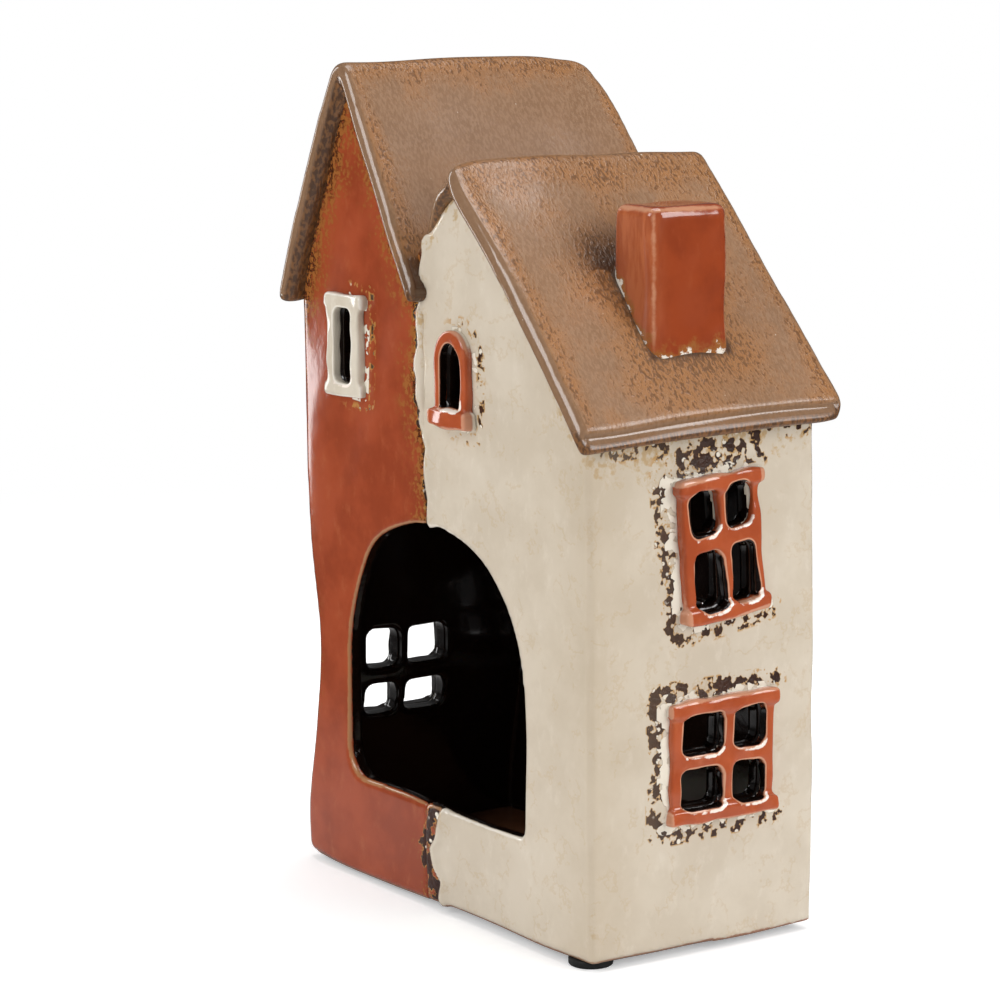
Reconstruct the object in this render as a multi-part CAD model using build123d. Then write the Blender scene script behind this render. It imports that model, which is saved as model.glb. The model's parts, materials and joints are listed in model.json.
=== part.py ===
from build123d import *

import os
from dataclasses import dataclass
from math import atan2, cos, radians, sin, tan

# A tealight house: a tall and a low pottery cottage, slab-built in clay, pressed together side by side
# and glazed. A tealight stands on the floor inside and lifts out through the arch in the front gables.
# Frame: +Z up, +X from the tall cottage to the low one, the arch in the -Y face. The origin lies on the
# standing surface under the middle of the plan. Sizes are in millimetres, heights above the wall foot.

# Plan of the two cottages
HOUSE_DEPTH = 68.0
FRONT_Y = -37.2
TALL_CORNER_X = -61.5
TALL_WIDTH = 55.5
LOW_WIDTH = 71.0
LOW_SIDE_LEAN = 2.0

# Clay thicknesses
WALL = 4.0
FLOOR = 4.0
ROOF = 4.7

# Tall cottage roof
TALL_RIDGE_HEIGHT = 217.0
TALL_RIDGE_FROM_CORNER = 19.8
TALL_LEFT_EAVE_HEIGHT = 151.7
TALL_LEFT_EAVE_OUT = 8.25
TALL_RIGHT_EAVE_HEIGHT = 154.9
TALL_RIGHT_EAVE_PAST_SEAM = 2.5

# The hand-pressed waist of the tall cottage's side wall
FOOT_FLARE = 2.2
FOOT_FLARE_HEIGHT = 9.0
WAIST_DEPTH = 4.2
WAIST_HEIGHT = 57.0
ARMPIT_DEPTH = 0.5
ARMPIT_HEIGHT = 83.0
SHOULDER_BULGE = 2.3
SHOULDER_HEIGHT = 123.0
HEAD_BULGE = 3.2

# Low cottage roof
LOW_RIDGE_HEIGHT = 191.0
LOW_RIDGE_FROM_SEAM = 21.0
LOW_EAVE_HEIGHT = 129.5
LOW_EAVE_OUT = 4.1
VALLEY_PITCH = 40.0

# How far the hand-cut roof slabs reach past the gables: at the ridge, half-way down and at the eave.
# The tall cottage's inner slab runs long at the rear, and the low cottage's inner slab draws back at the
# front towards the valley.
TALL_OVERHANG = (3.3, 4.2, 5.0)
TALL_LONG_OVERHANG = (3.3, 12.4, 12.4)
LOW_FRONT_OVERHANG = (7.0, 6.4, 5.4)
LOW_REAR_OVERHANG = (2.4, 3.5, 6.2)
VALLEY_FRONT_OVERHANG = (7.0, -4.9, -16.8)
VALLEY_REAR_OVERHANG = (3.3, 4.2, 5.0)
RIDGE_ROUND = 4.8
EAVE_ROUND = 2.2

# The arch, cut across the seam of the two front gables
ARCH_WIDTH = 80.0
ARCH_PAST_SEAM = 3.5
ARCH_SILL_HEIGHT = 24.9
ARCH_SPRING_HEIGHT = 57.9
ARCH_TALL_CORNER = 9.0
ARCH_LOW_CORNER = 3.0

# Window frames pressed on to the walls
FRAME_PROUD = 2.6
RAIL_PROUD = 3.4
SILL_PROUD = 4.0
FRAME_CORNER = 1.2
FRAME_EDGE = 0.8
PANE_CORNER = 2.2

# Four-pane window of the upper storey: panes are listed front to rear and from the top down
UPPER_FRAME_WIDTH = 25.0
UPPER_FRAME_HEIGHT = 35.0
UPPER_COLUMNS = (9.2, 8.2)
UPPER_ROWS = (10.6, 14.4)
UPPER_POST = 2.3
UPPER_BAR = 4.2
UPPER_RAIL = 4.0
UPPER_RAIL_REACH = 1.2

# Four-pane window of the lower storey
LOWER_FRAME_WIDTH = 31.5
LOWER_FRAME_HEIGHT = 30.3
LOWER_COLUMNS = (12.6, 10.0)
LOWER_ROWS = (10.2, 10.0)
LOWER_POST = 3.0
LOWER_BAR = 3.3
LOWER_RAIL = 4.0
LOWER_RAIL_REACH = 1.0

# The tall cottage's lower side window has the same frame with other panes
TALL_LOWER_COLUMNS = (12.8, 10.4)
TALL_LOWER_ROWS = (11.0, 8.8)
TALL_LOWER_POST = 2.0
TALL_LOWER_BAR = 4.0

# Slit window and round-headed window under the gables
SLIT_FRAME_WIDTH = 15.4
SLIT_FRAME_HEIGHT = 26.5
SLIT_WIDTH = 8.0
SLIT_HEIGHT = 19.4
SLIT_RAIL = 3.8
SLIT_RAIL_REACH = 1.1
ARCHED_FRAME_WIDTH = 14.0
ARCHED_FRAME_HEIGHT = 24.0
ARCHED_LIGHT_WIDTH = 8.6
ARCHED_LIGHT_HEIGHT = 15.8
ARCHED_SILL = 4.4
ARCHED_SILL_REACH = 1.6

# Where the middle of each window lies: from the front face on the side walls, from the tall corner
# or the seam on the gables, and above the wall foot
SIDE_UPPER_FROM_FRONT = 37.8
SIDE_UPPER_HEIGHT = 98.7
SIDE_UPPER_TILT = 4.0
SIDE_LOWER_FROM_FRONT = 38.0
SIDE_LOWER_HEIGHT = 46.5
TALL_SIDE_UPPER_FROM_FRONT = 33.0
TALL_SIDE_UPPER_HEIGHT = 106.9
TALL_SIDE_LOWER_FROM_FRONT = 25.3
TALL_SIDE_LOWER_HEIGHT = 49.1
SLIT_FROM_CORNER = 20.4
SLIT_CENTRE_HEIGHT = 139.1
ARCHED_FROM_SEAM = 14.5
ARCHED_CENTRE_HEIGHT = 135.4
REAR_TALL_FROM_CORNER = 29.0
REAR_LOW_FROM_SEAM = 36.0
REAR_LOWER_HEIGHT = 62.9

# Chimney, standing on the low cottage's outer slope
CHIMNEY_WIDTH = 17.0
CHIMNEY_DEPTH = 23.4
CHIMNEY_TOP_HEIGHT = 178.9
CHIMNEY_FROM_RIDGE = 33.2
CHIMNEY_FROM_FRONT = 35.1
CHIMNEY_CORNER = 3.2
CHIMNEY_TOP_EDGE = 2.2

# Rubber feet; each stands in from the side wall and from the gable by its own distances
FOOT_DIAMETER = 11.0
FOOT_HEIGHT = 2.0
FOOT_EDGE = 0.5
FRONT_TALL_FOOT = (12.0, 12.0)
FRONT_LOW_FOOT = (8.0, 5.6)
REAR_TALL_FOOT = (12.0, 8.0)
REAR_LOW_FOOT = (14.0, 8.0)

# Tealight
TEALIGHT_DIAMETER = 38.0
TEALIGHT_HEIGHT = 17.0
TEALIGHT_FROM_SEAM = 20.5
TEALIGHT_REAR_GAP = 1.2
CUP_WALL = 0.4
CUP_RIM = 0.6
WAX_DROP = 1.5
WICK_DIAMETER = 1.5
WICK_STANDS = 7.0
CLIP_DIAMETER = 12.0
CLIP_THICKNESS = 0.4
COLLAR_WALL = 0.4
COLLAR_HEIGHT = 3.0
CAST_CLEARANCE = 0.1
SEAT_CLEARANCE = 0.1

# How far cutters run past what they cut
PAST = 6.0

# Places that follow from the sizes above
GROUND = FOOT_HEIGHT
REAR_Y = FRONT_Y + HOUSE_DEPTH
SEAM_X = TALL_CORNER_X + TALL_WIDTH
LOW_CORNER_X = SEAM_X + LOW_WIDTH
ARCH_X = SEAM_X + ARCH_PAST_SEAM
ARCH_RADIUS = ARCH_WIDTH / 2


def along_depth(outline, front_y=FRONT_Y, rear_y=REAR_Y):
    """A face drawn in x and height, stood up in the XZ plane and carried from one depth to another."""
    upright = Pos(0, front_y, GROUND) * (Plane.XZ * outline)
    return extrude(upright, amount=rear_y - front_y, dir=(0, 1, 0))


def polygon(*points):
    """A face with straight sides."""
    return make_face(Polyline(*points, close=True))


@dataclass
class Pitch:
    """One roof slope: the slab whose outer surface runs from the ridge down to the eave."""

    ridge: tuple
    eave: tuple
    front: tuple
    rear: tuple
    plumb: bool = False

    @property
    def side(self):
        """-1 for a slope that falls towards -X and +1 for one that falls towards +X."""
        return 1 if self.eave[0] > self.ridge[0] else -1

    @property
    def angle(self):
        """The slope of the slab in radians."""
        return atan2(self.ridge[1] - self.eave[1], self.side * (self.eave[0] - self.ridge[0]))

    def surface(self, x):
        """The height of the outer surface at x."""
        return self.ridge[1] - self.side * (x - self.ridge[0]) * tan(self.angle)

    def soffit(self, x):
        """The height of the underside at x."""
        return self.surface(x) - ROOF / cos(self.angle)

    def soffit_eave(self):
        """The lower corner of the slab's edge, cut plumb or square to the slope."""
        if self.plumb:
            return (self.eave[0], self.soffit(self.eave[0]))
        return (self.eave[0] - self.side * ROOF * sin(self.angle), self.eave[1] - ROOF * cos(self.angle))


@dataclass
class Roof:
    """Two slabs that meet in a mitre at the ridge."""

    left: Pitch
    right: Pitch

    def slabs(self):
        """The left and the right slab with the ridge and the eaves rounded over."""
        ridge_x, ridge_z = self.left.ridge
        section = polygon(
            self.left.eave,
            self.left.ridge,
            self.right.eave,
            self.right.soffit_eave(),
            (ridge_x, self.right.soffit(ridge_x)),
            (ridge_x, self.left.soffit(ridge_x)),
            self.left.soffit_eave(),
        )
        section = fillet(section.vertices().sort_by_distance((ridge_x, ridge_z, 0))[0], RIDGE_ROUND)
        for pitch in (self.left, self.right):
            for corner in (pitch.eave, pitch.soffit_eave()):
                section = fillet(section.vertices().sort_by_distance((*corner, 0))[0], EAVE_ROUND)
        whole = along_depth(section, FRONT_Y - HOUSE_DEPTH, REAR_Y + HOUSE_DEPTH)
        return [whole & self.plan(pitch) for pitch in (self.left, self.right)]

    def plan(self, pitch):
        """One slab's outline seen from above, with its gently curved rakes."""
        ridge_x = pitch.ridge[0]
        eave_x = pitch.eave[0]
        stations = (ridge_x, (ridge_x + eave_x) / 2, eave_x)
        front = Spline(*[(x, FRONT_Y - out) for x, out in zip(stations, pitch.front)])
        rear = Spline(*[(x, REAR_Y + out) for x, out in zip(stations, pitch.rear)])
        ends = [Line(front @ 0, rear @ 0), Line(front @ 1, rear @ 1)]
        return extrude(make_face([front, rear, *ends]), amount=GROUND + pitch.ridge[1] + PAST)

    def sky(self):
        """Everything above the undersides, which cuts a wall to the roof that lies on it."""
        ridge_x, ridge_z = self.left.ridge
        left_x = self.left.eave[0] - HOUSE_DEPTH
        right_x = self.right.eave[0] + HOUSE_DEPTH
        outline = polygon(
            (left_x, self.left.soffit(left_x)),
            (ridge_x, self.left.soffit(ridge_x)),
            (ridge_x, self.right.soffit(ridge_x)),
            (right_x, self.right.soffit(right_x)),
            (right_x, ridge_z + PAST),
            (left_x, ridge_z + PAST),
        )
        return along_depth(outline, FRONT_Y - PAST, REAR_Y + PAST)


@dataclass
class PanedWindow:
    """A frame of two stiles, two rails, a post and a bar, with four rounded panes."""

    width: float
    height: float
    columns: tuple
    rows: tuple
    post: float
    bar: float
    rail: float
    rail_reach: float

    def panes(self):
        """The four pane openings as faces."""
        first_x = -(self.columns[0] + self.post + self.columns[1]) / 2
        first_y = (self.rows[0] + self.bar + self.rows[1]) / 2
        centres_x = (first_x + self.columns[0] / 2, -first_x - self.columns[1] / 2)
        centres_y = (first_y - self.rows[0] / 2, -first_y + self.rows[1] / 2)
        faces = []
        for x, pane_width in zip(centres_x, self.columns):
            for y, pane_height in zip(centres_y, self.rows):
                faces.append(Pos(x, y) * RectangleRounded(pane_width, pane_height, PANE_CORNER))
        return faces

    def layers(self):
        """The frame's outlines, each with how far it stands out from the wall."""
        rail_width = self.width + 2 * self.rail_reach
        rail_y = (self.height - self.rail) / 2
        return [
            (RectangleRounded(self.width, self.height, FRAME_CORNER), FRAME_PROUD),
            (Pos(0, rail_y) * RectangleRounded(rail_width, self.rail, FRAME_CORNER), RAIL_PROUD),
            (Pos(0, -rail_y) * RectangleRounded(rail_width, self.rail, FRAME_CORNER), SILL_PROUD),
        ]


@dataclass
class SlitWindow:
    """A tall single opening between two wide rails."""

    width: float
    height: float
    slit_width: float
    slit_height: float
    rail: float
    rail_reach: float

    def panes(self):
        """The slit as a face."""
        return [RectangleRounded(self.slit_width, self.slit_height, PANE_CORNER)]

    def layers(self):
        """The frame's outlines, each with how far it stands out from the wall."""
        rail_width = self.width + 2 * self.rail_reach
        rail_y = (self.height - self.rail) / 2
        return [
            (RectangleRounded(self.width, self.height, FRAME_CORNER), FRAME_PROUD),
            (Pos(0, rail_y) * RectangleRounded(rail_width, self.rail, FRAME_CORNER), FRAME_PROUD),
            (Pos(0, -rail_y) * RectangleRounded(rail_width, self.rail, FRAME_CORNER), FRAME_PROUD),
        ]


@dataclass
class ArchedWindow:
    """A round-headed opening in a round-headed frame on a wide sill."""

    width: float
    height: float
    light_width: float
    light_height: float
    sill: float
    sill_reach: float

    @staticmethod
    def round_headed(width, height):
        """A face with a square foot and a half-round head, centred on its height."""
        radius = width / 2
        body = Pos(0, -radius / 2) * Rectangle(width, height - radius)
        return body + Pos(0, height / 2 - radius) * Circle(radius)

    def panes(self):
        """The opening as a face."""
        centre_y = (self.sill - (self.width - self.light_width) / 2) / 2
        return [Pos(0, centre_y) * self.round_headed(self.light_width, self.light_height)]

    def layers(self):
        """The frame's outlines, each with how far it stands out from the wall."""
        sill_y = (self.sill - self.height) / 2
        sill_width = self.width + 2 * self.sill_reach
        return [
            (self.round_headed(self.width, self.height), FRAME_PROUD),
            (Pos(0, sill_y) * RectangleRounded(sill_width, self.sill, FRAME_CORNER), SILL_PROUD),
        ]


# Roofs: the low cottage's inner slab dies into the tall cottage's slope in a valley
tall_ridge = (TALL_CORNER_X + TALL_RIDGE_FROM_CORNER, TALL_RIDGE_HEIGHT)
tall_left_eave = (TALL_CORNER_X - TALL_LEFT_EAVE_OUT, TALL_LEFT_EAVE_HEIGHT)
tall_right_eave = (SEAM_X + TALL_RIGHT_EAVE_PAST_SEAM, TALL_RIGHT_EAVE_HEIGHT)
tall_roof = Roof(
    Pitch(tall_ridge, tall_left_eave, TALL_OVERHANG, TALL_OVERHANG),
    Pitch(tall_ridge, tall_right_eave, TALL_OVERHANG, TALL_LONG_OVERHANG),
)
low_ridge = (SEAM_X + LOW_RIDGE_FROM_SEAM, LOW_RIDGE_HEIGHT)
valley_x = tall_ridge[0]
valley_drop = (low_ridge[0] - valley_x) * tan(radians(VALLEY_PITCH))
low_left_foot = (valley_x, LOW_RIDGE_HEIGHT - valley_drop)
low_right_eave = (LOW_CORNER_X + LOW_EAVE_OUT, LOW_EAVE_HEIGHT)
low_roof = Roof(
    Pitch(low_ridge, low_left_foot, VALLEY_FRONT_OVERHANG, VALLEY_REAR_OVERHANG),
    Pitch(low_ridge, low_right_eave, LOW_FRONT_OVERHANG, LOW_REAR_OVERHANG, plumb=True),
)
under_tall_slope = along_depth(
    polygon(
        (valley_x, 0),
        (SEAM_X, 0),
        (SEAM_X, tall_roof.right.soffit(SEAM_X)),
        tall_roof.right.soffit_eave(),
        tall_right_eave,
        tall_ridge,
    ),
    FRONT_Y - HOUSE_DEPTH,
    REAR_Y + HOUSE_DEPTH,
)
tall_left_slab, tall_right_slab = tall_roof.slabs()
low_left_slab, low_right_slab = low_roof.slabs()
low_left_slab = low_left_slab - under_tall_slope - tall_left_slab - tall_right_slab

# Outer and inner surfaces of the walls
tall_side_edge = Spline(
    (TALL_CORNER_X - FOOT_FLARE, 0),
    (TALL_CORNER_X - FOOT_FLARE, FOOT_FLARE_HEIGHT),
    (TALL_CORNER_X + WAIST_DEPTH, WAIST_HEIGHT),
    (TALL_CORNER_X + ARMPIT_DEPTH, ARMPIT_HEIGHT),
    (TALL_CORNER_X - SHOULDER_BULGE, SHOULDER_HEIGHT),
    (TALL_CORNER_X - HEAD_BULGE, TALL_LEFT_EAVE_HEIGHT + PAST),
)


def right_of(edge, far_x):
    """The face between a rising edge and an upright line at far_x, up to the tall ridge."""
    rest = Polyline(
        edge @ 0,
        (far_x, 0),
        (far_x, TALL_RIDGE_HEIGHT),
        ((edge @ 1).X, TALL_RIDGE_HEIGHT),
        edge @ 1,
    )
    return make_face([edge, *rest.edges()])


def left_of_low_side(far_x, foot_x):
    """The face between an upright line at far_x and a line that leans with the low side wall."""
    lean = LOW_SIDE_LEAN * LOW_RIDGE_HEIGHT / LOW_EAVE_HEIGHT
    return polygon((far_x, 0), (foot_x, 0), (foot_x - lean, LOW_RIDGE_HEIGHT), (far_x, LOW_RIDGE_HEIGHT))


def tall_block(front_y, rear_y):
    """The solid shape of the tall cottage under its roof, between two depths."""
    return along_depth(right_of(tall_side_edge, SEAM_X), front_y, rear_y) - tall_roof.sky()


def low_block(front_y, rear_y):
    """The solid shape of the low cottage under both roofs, between two depths."""
    whole = along_depth(left_of_low_side(valley_x, LOW_CORNER_X), front_y, rear_y)
    return whole - low_roof.sky() - under_tall_slope - tall_right_slab


inside_y = (FRONT_Y + WALL, REAR_Y - WALL)
tall_inside = along_depth(right_of((Pos(WALL, 0) * tall_side_edge).edge(), LOW_CORNER_X), *inside_y)
low_inside = along_depth(left_of_low_side(TALL_CORNER_X, LOW_CORNER_X - WALL), *inside_y)

# The arch
arch_left = (ARCH_X - ARCH_RADIUS, ARCH_SPRING_HEIGHT)
arch_right = (ARCH_X + ARCH_RADIUS, ARCH_SPRING_HEIGHT)
arch_head = ThreePointArc(arch_left, (ARCH_X, ARCH_SPRING_HEIGHT + ARCH_RADIUS), arch_right)
arch_foot_left = (arch_left[0], ARCH_SILL_HEIGHT)
arch_foot_right = (arch_right[0], ARCH_SILL_HEIGHT)
arch_legs = Polyline(arch_left, arch_foot_left, arch_foot_right, arch_right)
arch_face = make_face([arch_head, *arch_legs.edges()])
for corner, radius in ((arch_foot_left, ARCH_TALL_CORNER), (arch_foot_right, ARCH_LOW_CORNER)):
    arch_face = fillet(arch_face.vertices().sort_by_distance((*corner, 0))[0], radius)
arch = along_depth(arch_face, FRONT_Y - PAST, FRONT_Y + WALL + PAST)

floor_box = Pos(0, 0, GROUND + FLOOR / 2) * Box(2 * (TALL_WIDTH + LOW_WIDTH), HOUSE_DEPTH, FLOOR)
nodes = {
    "floor_slab": floor_box & tall_inside & low_inside,
    "tall_front_gable": tall_block(FRONT_Y, FRONT_Y + WALL) - arch,
    "tall_rear_gable": tall_block(REAR_Y - WALL, REAR_Y),
    "tall_side_wall": tall_block(*inside_y) - tall_inside,
    "low_front_gable": low_block(FRONT_Y, FRONT_Y + WALL) - arch,
    "low_rear_gable": low_block(REAR_Y - WALL, REAR_Y),
    "low_side_wall": low_block(*inside_y) - low_inside,
    "tall_left_roof_slab": tall_left_slab,
    "tall_right_roof_slab": tall_right_slab,
    "low_left_roof_slab": low_left_slab,
    "low_right_roof_slab": low_right_slab,
}


# Where the windows sit: a plane on the wall's outer face, with its z axis pointing out of the wall
def on_front(x, height):
    """A place on the front gables."""
    return Plane((x, FRONT_Y, GROUND + height), x_dir=(1, 0, 0), z_dir=(0, -1, 0))


def on_rear(x, height):
    """A place on the rear gables."""
    return Plane((x, REAR_Y, GROUND + height), x_dir=(-1, 0, 0), z_dir=(0, 1, 0))


def on_low_side(y, height):
    """A place on the low cottage's leaning side wall."""
    lean = LOW_SIDE_LEAN / LOW_EAVE_HEIGHT
    return Plane((LOW_CORNER_X - lean * height, y, GROUND + height), x_dir=(0, 1, 0), z_dir=(1, 0, lean))


def on_tall_side(y, height):
    """A place on the tall cottage's waisted side wall."""
    low = 0.0
    high = 1.0
    while high - low > 1e-6:
        middle = (low + high) / 2
        if (tall_side_edge @ middle).Y < height:
            low = middle
        else:
            high = middle
    rise = tall_side_edge % low
    origin = ((tall_side_edge @ low).X, y, GROUND + height)
    return Plane(origin, x_dir=(0, -1, 0), z_dir=(-rise.Y, 0, rise.X))


upper_panes = PanedWindow(
    width=UPPER_FRAME_WIDTH,
    height=UPPER_FRAME_HEIGHT,
    columns=UPPER_COLUMNS,
    rows=UPPER_ROWS,
    post=UPPER_POST,
    bar=UPPER_BAR,
    rail=UPPER_RAIL,
    rail_reach=UPPER_RAIL_REACH,
)
lower_panes = PanedWindow(
    width=LOWER_FRAME_WIDTH,
    height=LOWER_FRAME_HEIGHT,
    columns=LOWER_COLUMNS,
    rows=LOWER_ROWS,
    post=LOWER_POST,
    bar=LOWER_BAR,
    rail=LOWER_RAIL,
    rail_reach=LOWER_RAIL_REACH,
)
tall_lower_panes = PanedWindow(
    width=LOWER_FRAME_WIDTH,
    height=LOWER_FRAME_HEIGHT,
    columns=TALL_LOWER_COLUMNS,
    rows=TALL_LOWER_ROWS,
    post=TALL_LOWER_POST,
    bar=TALL_LOWER_BAR,
    rail=LOWER_RAIL,
    rail_reach=LOWER_RAIL_REACH,
)
slit = SlitWindow(
    width=SLIT_FRAME_WIDTH,
    height=SLIT_FRAME_HEIGHT,
    slit_width=SLIT_WIDTH,
    slit_height=SLIT_HEIGHT,
    rail=SLIT_RAIL,
    rail_reach=SLIT_RAIL_REACH,
)
arched = ArchedWindow(
    width=ARCHED_FRAME_WIDTH,
    height=ARCHED_FRAME_HEIGHT,
    light_width=ARCHED_LIGHT_WIDTH,
    light_height=ARCHED_LIGHT_HEIGHT,
    sill=ARCHED_SILL,
    sill_reach=ARCHED_SILL_REACH,
)
side_upper_place = on_low_side(FRONT_Y + SIDE_UPPER_FROM_FRONT, SIDE_UPPER_HEIGHT)
side_upper_place = side_upper_place.rotated((0, 0, SIDE_UPPER_TILT))
side_lower_place = on_low_side(FRONT_Y + SIDE_LOWER_FROM_FRONT, SIDE_LOWER_HEIGHT)
tall_side_upper_place = on_tall_side(FRONT_Y + TALL_SIDE_UPPER_FROM_FRONT, TALL_SIDE_UPPER_HEIGHT)
tall_side_lower_place = on_tall_side(FRONT_Y + TALL_SIDE_LOWER_FROM_FRONT, TALL_SIDE_LOWER_HEIGHT)
slit_x = TALL_CORNER_X + SLIT_FROM_CORNER
arched_x = SEAM_X + ARCHED_FROM_SEAM
rear_tall_x = TALL_CORNER_X + REAR_TALL_FROM_CORNER
rear_low_x = SEAM_X + REAR_LOW_FROM_SEAM
windows = {
    "side_upper_window": (upper_panes, "low_side_wall", side_upper_place),
    "side_lower_window": (lower_panes, "low_side_wall", side_lower_place),
    "tall_side_upper_window": (upper_panes, "tall_side_wall", tall_side_upper_place),
    "tall_side_lower_window": (tall_lower_panes, "tall_side_wall", tall_side_lower_place),
    "front_slit_window": (slit, "tall_front_gable", on_front(slit_x, SLIT_CENTRE_HEIGHT)),
    "front_arched_window": (arched, "low_front_gable", on_front(arched_x, ARCHED_CENTRE_HEIGHT)),
    "rear_slit_window": (slit, "tall_rear_gable", on_rear(slit_x, SLIT_CENTRE_HEIGHT)),
    "rear_arched_window": (arched, "low_rear_gable", on_rear(arched_x, ARCHED_CENTRE_HEIGHT)),
    "rear_tall_window": (lower_panes, "tall_rear_gable", on_rear(rear_tall_x, REAR_LOWER_HEIGHT)),
    "rear_low_window": (lower_panes, "low_rear_gable", on_rear(rear_low_x, REAR_LOWER_HEIGHT)),
}


def raised(place, face, proud):
    """A face on the wall, from inside the clay out to where it stands proud, with its front edge rounded."""
    block = extrude(place.offset(-WALL / 2) * face, amount=WALL / 2 + proud)
    front = block.faces().sort_by(Axis(place.origin, place.z_dir))[-1]
    return fillet(front.edges(), FRAME_EDGE)


cottages = tall_block(FRONT_Y, REAR_Y) + low_block(FRONT_Y, REAR_Y)
for name, (window, wall, place) in windows.items():
    frame = sum((raised(place, face, proud) for face, proud in window.layers()), start=Part())
    frame = frame - cottages
    for pane in window.panes():
        light = extrude(place.offset(-WALL - PAST) * pane, amount=WALL + SILL_PROUD + 2 * PAST)
        frame = frame - light
        nodes[wall] = nodes[wall] - light
    nodes[name] = frame

# Chimney: a solid block cut to the slope that it stands on
chimney_x = low_ridge[0] + CHIMNEY_FROM_RIDGE
chimney_y = FRONT_Y + CHIMNEY_FROM_FRONT
chimney_foot = low_roof.right.surface(chimney_x + CHIMNEY_WIDTH)
chimney_rise = CHIMNEY_TOP_HEIGHT - chimney_foot
stack_face = RectangleRounded(CHIMNEY_WIDTH, CHIMNEY_DEPTH, CHIMNEY_CORNER)
stack = extrude(Pos(chimney_x, chimney_y, GROUND + chimney_foot) * stack_face, amount=chimney_rise)
stack = fillet(stack.faces().sort_by(Axis.Z)[-1].edges(), CHIMNEY_TOP_EDGE)
under_low_slope = along_depth(
    polygon(
        (low_ridge[0], 0),
        (LOW_CORNER_X, 0),
        (LOW_CORNER_X, low_roof.right.surface(LOW_CORNER_X)),
        low_ridge,
    )
)
nodes["chimney"] = stack - under_low_slope

# Four stick-on feet, under the corners
foot = Pos(0, 0, FOOT_HEIGHT / 2) * Cylinder(FOOT_DIAMETER / 2, FOOT_HEIGHT)
foot = fillet(foot.edges().group_by(Axis.Z)[0], FOOT_EDGE)
foot_places = {
    "foot_front_tall": (TALL_CORNER_X + FRONT_TALL_FOOT[0], FRONT_Y + FRONT_TALL_FOOT[1]),
    "foot_front_low": (LOW_CORNER_X - FRONT_LOW_FOOT[0], FRONT_Y + FRONT_LOW_FOOT[1]),
    "foot_rear_tall": (TALL_CORNER_X + REAR_TALL_FOOT[0], REAR_Y - REAR_TALL_FOOT[1]),
    "foot_rear_low": (LOW_CORNER_X - REAR_LOW_FOOT[0], REAR_Y - REAR_LOW_FOOT[1]),
}
for name, (x, y) in foot_places.items():
    nodes[name] = Pos(x, y, 0) * foot

# Tealight: a pressed cup, cast wax, and a wick held upright by a clip on the cup's floor
cup_radius = TEALIGHT_DIAMETER / 2 - CUP_RIM
cup_bore = cup_radius - CUP_WALL
wax_radius = cup_bore - CAST_CLEARANCE
wax_top = TEALIGHT_HEIGHT - WAX_DROP
clip_top = CUP_WALL + CLIP_THICKNESS
collar_bore = WICK_DIAMETER / 2 + CAST_CLEARANCE
collar_radius = collar_bore + COLLAR_WALL
wick_top = wax_top + WICK_STANDS


def disc(radius, low_z, high_z):
    """An upright cylinder between two heights above the underside of the tealight."""
    return Pos(0, 0, (low_z + high_z) / 2) * Cylinder(radius, high_z - low_z)


rim = Pos(0, 0, TEALIGHT_HEIGHT - CUP_RIM) * Torus(cup_radius, CUP_RIM)
cup = disc(cup_radius, 0, TEALIGHT_HEIGHT - CUP_RIM) + rim
cup = cup - disc(cup_bore, CUP_WALL, TEALIGHT_HEIGHT)
collar_top = clip_top + COLLAR_HEIGHT
clip = disc(CLIP_DIAMETER / 2, CUP_WALL, clip_top) + disc(collar_radius, clip_top, collar_top)
clip = clip - disc(collar_bore, clip_top, collar_top)
wick = disc(WICK_DIAMETER / 2, clip_top, wick_top)
wax = disc(wax_radius, CUP_WALL + CAST_CLEARANCE, wax_top)
wax = wax - disc(CLIP_DIAMETER / 2 + CAST_CLEARANCE, CUP_WALL, clip_top + CAST_CLEARANCE)
wax = wax - disc(collar_radius + CAST_CLEARANCE, CUP_WALL, collar_top + CAST_CLEARANCE)
wax = wax - disc(collar_bore, CUP_WALL, wax_top)
tealight_y = REAR_Y - WALL - TEALIGHT_REAR_GAP - TEALIGHT_DIAMETER / 2
tealight_place = Pos(SEAM_X + TEALIGHT_FROM_SEAM, tealight_y, GROUND + FLOOR + SEAT_CLEARANCE)
nodes["tealight_cup"] = tealight_place * cup
nodes["tealight_wax"] = tealight_place * wax
nodes["tealight_wick"] = tealight_place * wick
nodes["tealight_wick_clip"] = tealight_place * clip

os.makedirs("parts", exist_ok=True)
for name, shape in nodes.items():
    export_step(shape.solid(), f"parts/{name}.step")
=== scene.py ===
"""A glazed pottery tealight house: a tall terracotta cottage and a low ivory one under taupe roofs.

Every clay piece starts as a copy of its solids. The copy is turned into an even skin, softened as wet clay
and melted glaze are, bent a little as by hand, and glazed with a procedural finish that reads how far each
point lies from the edges where glaze breaks. Lengths are in millimetres unless a name or comment says metres.
"""

import json
import logging
import math
from dataclasses import dataclass
from enum import Enum
from typing import Optional, Union

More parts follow.
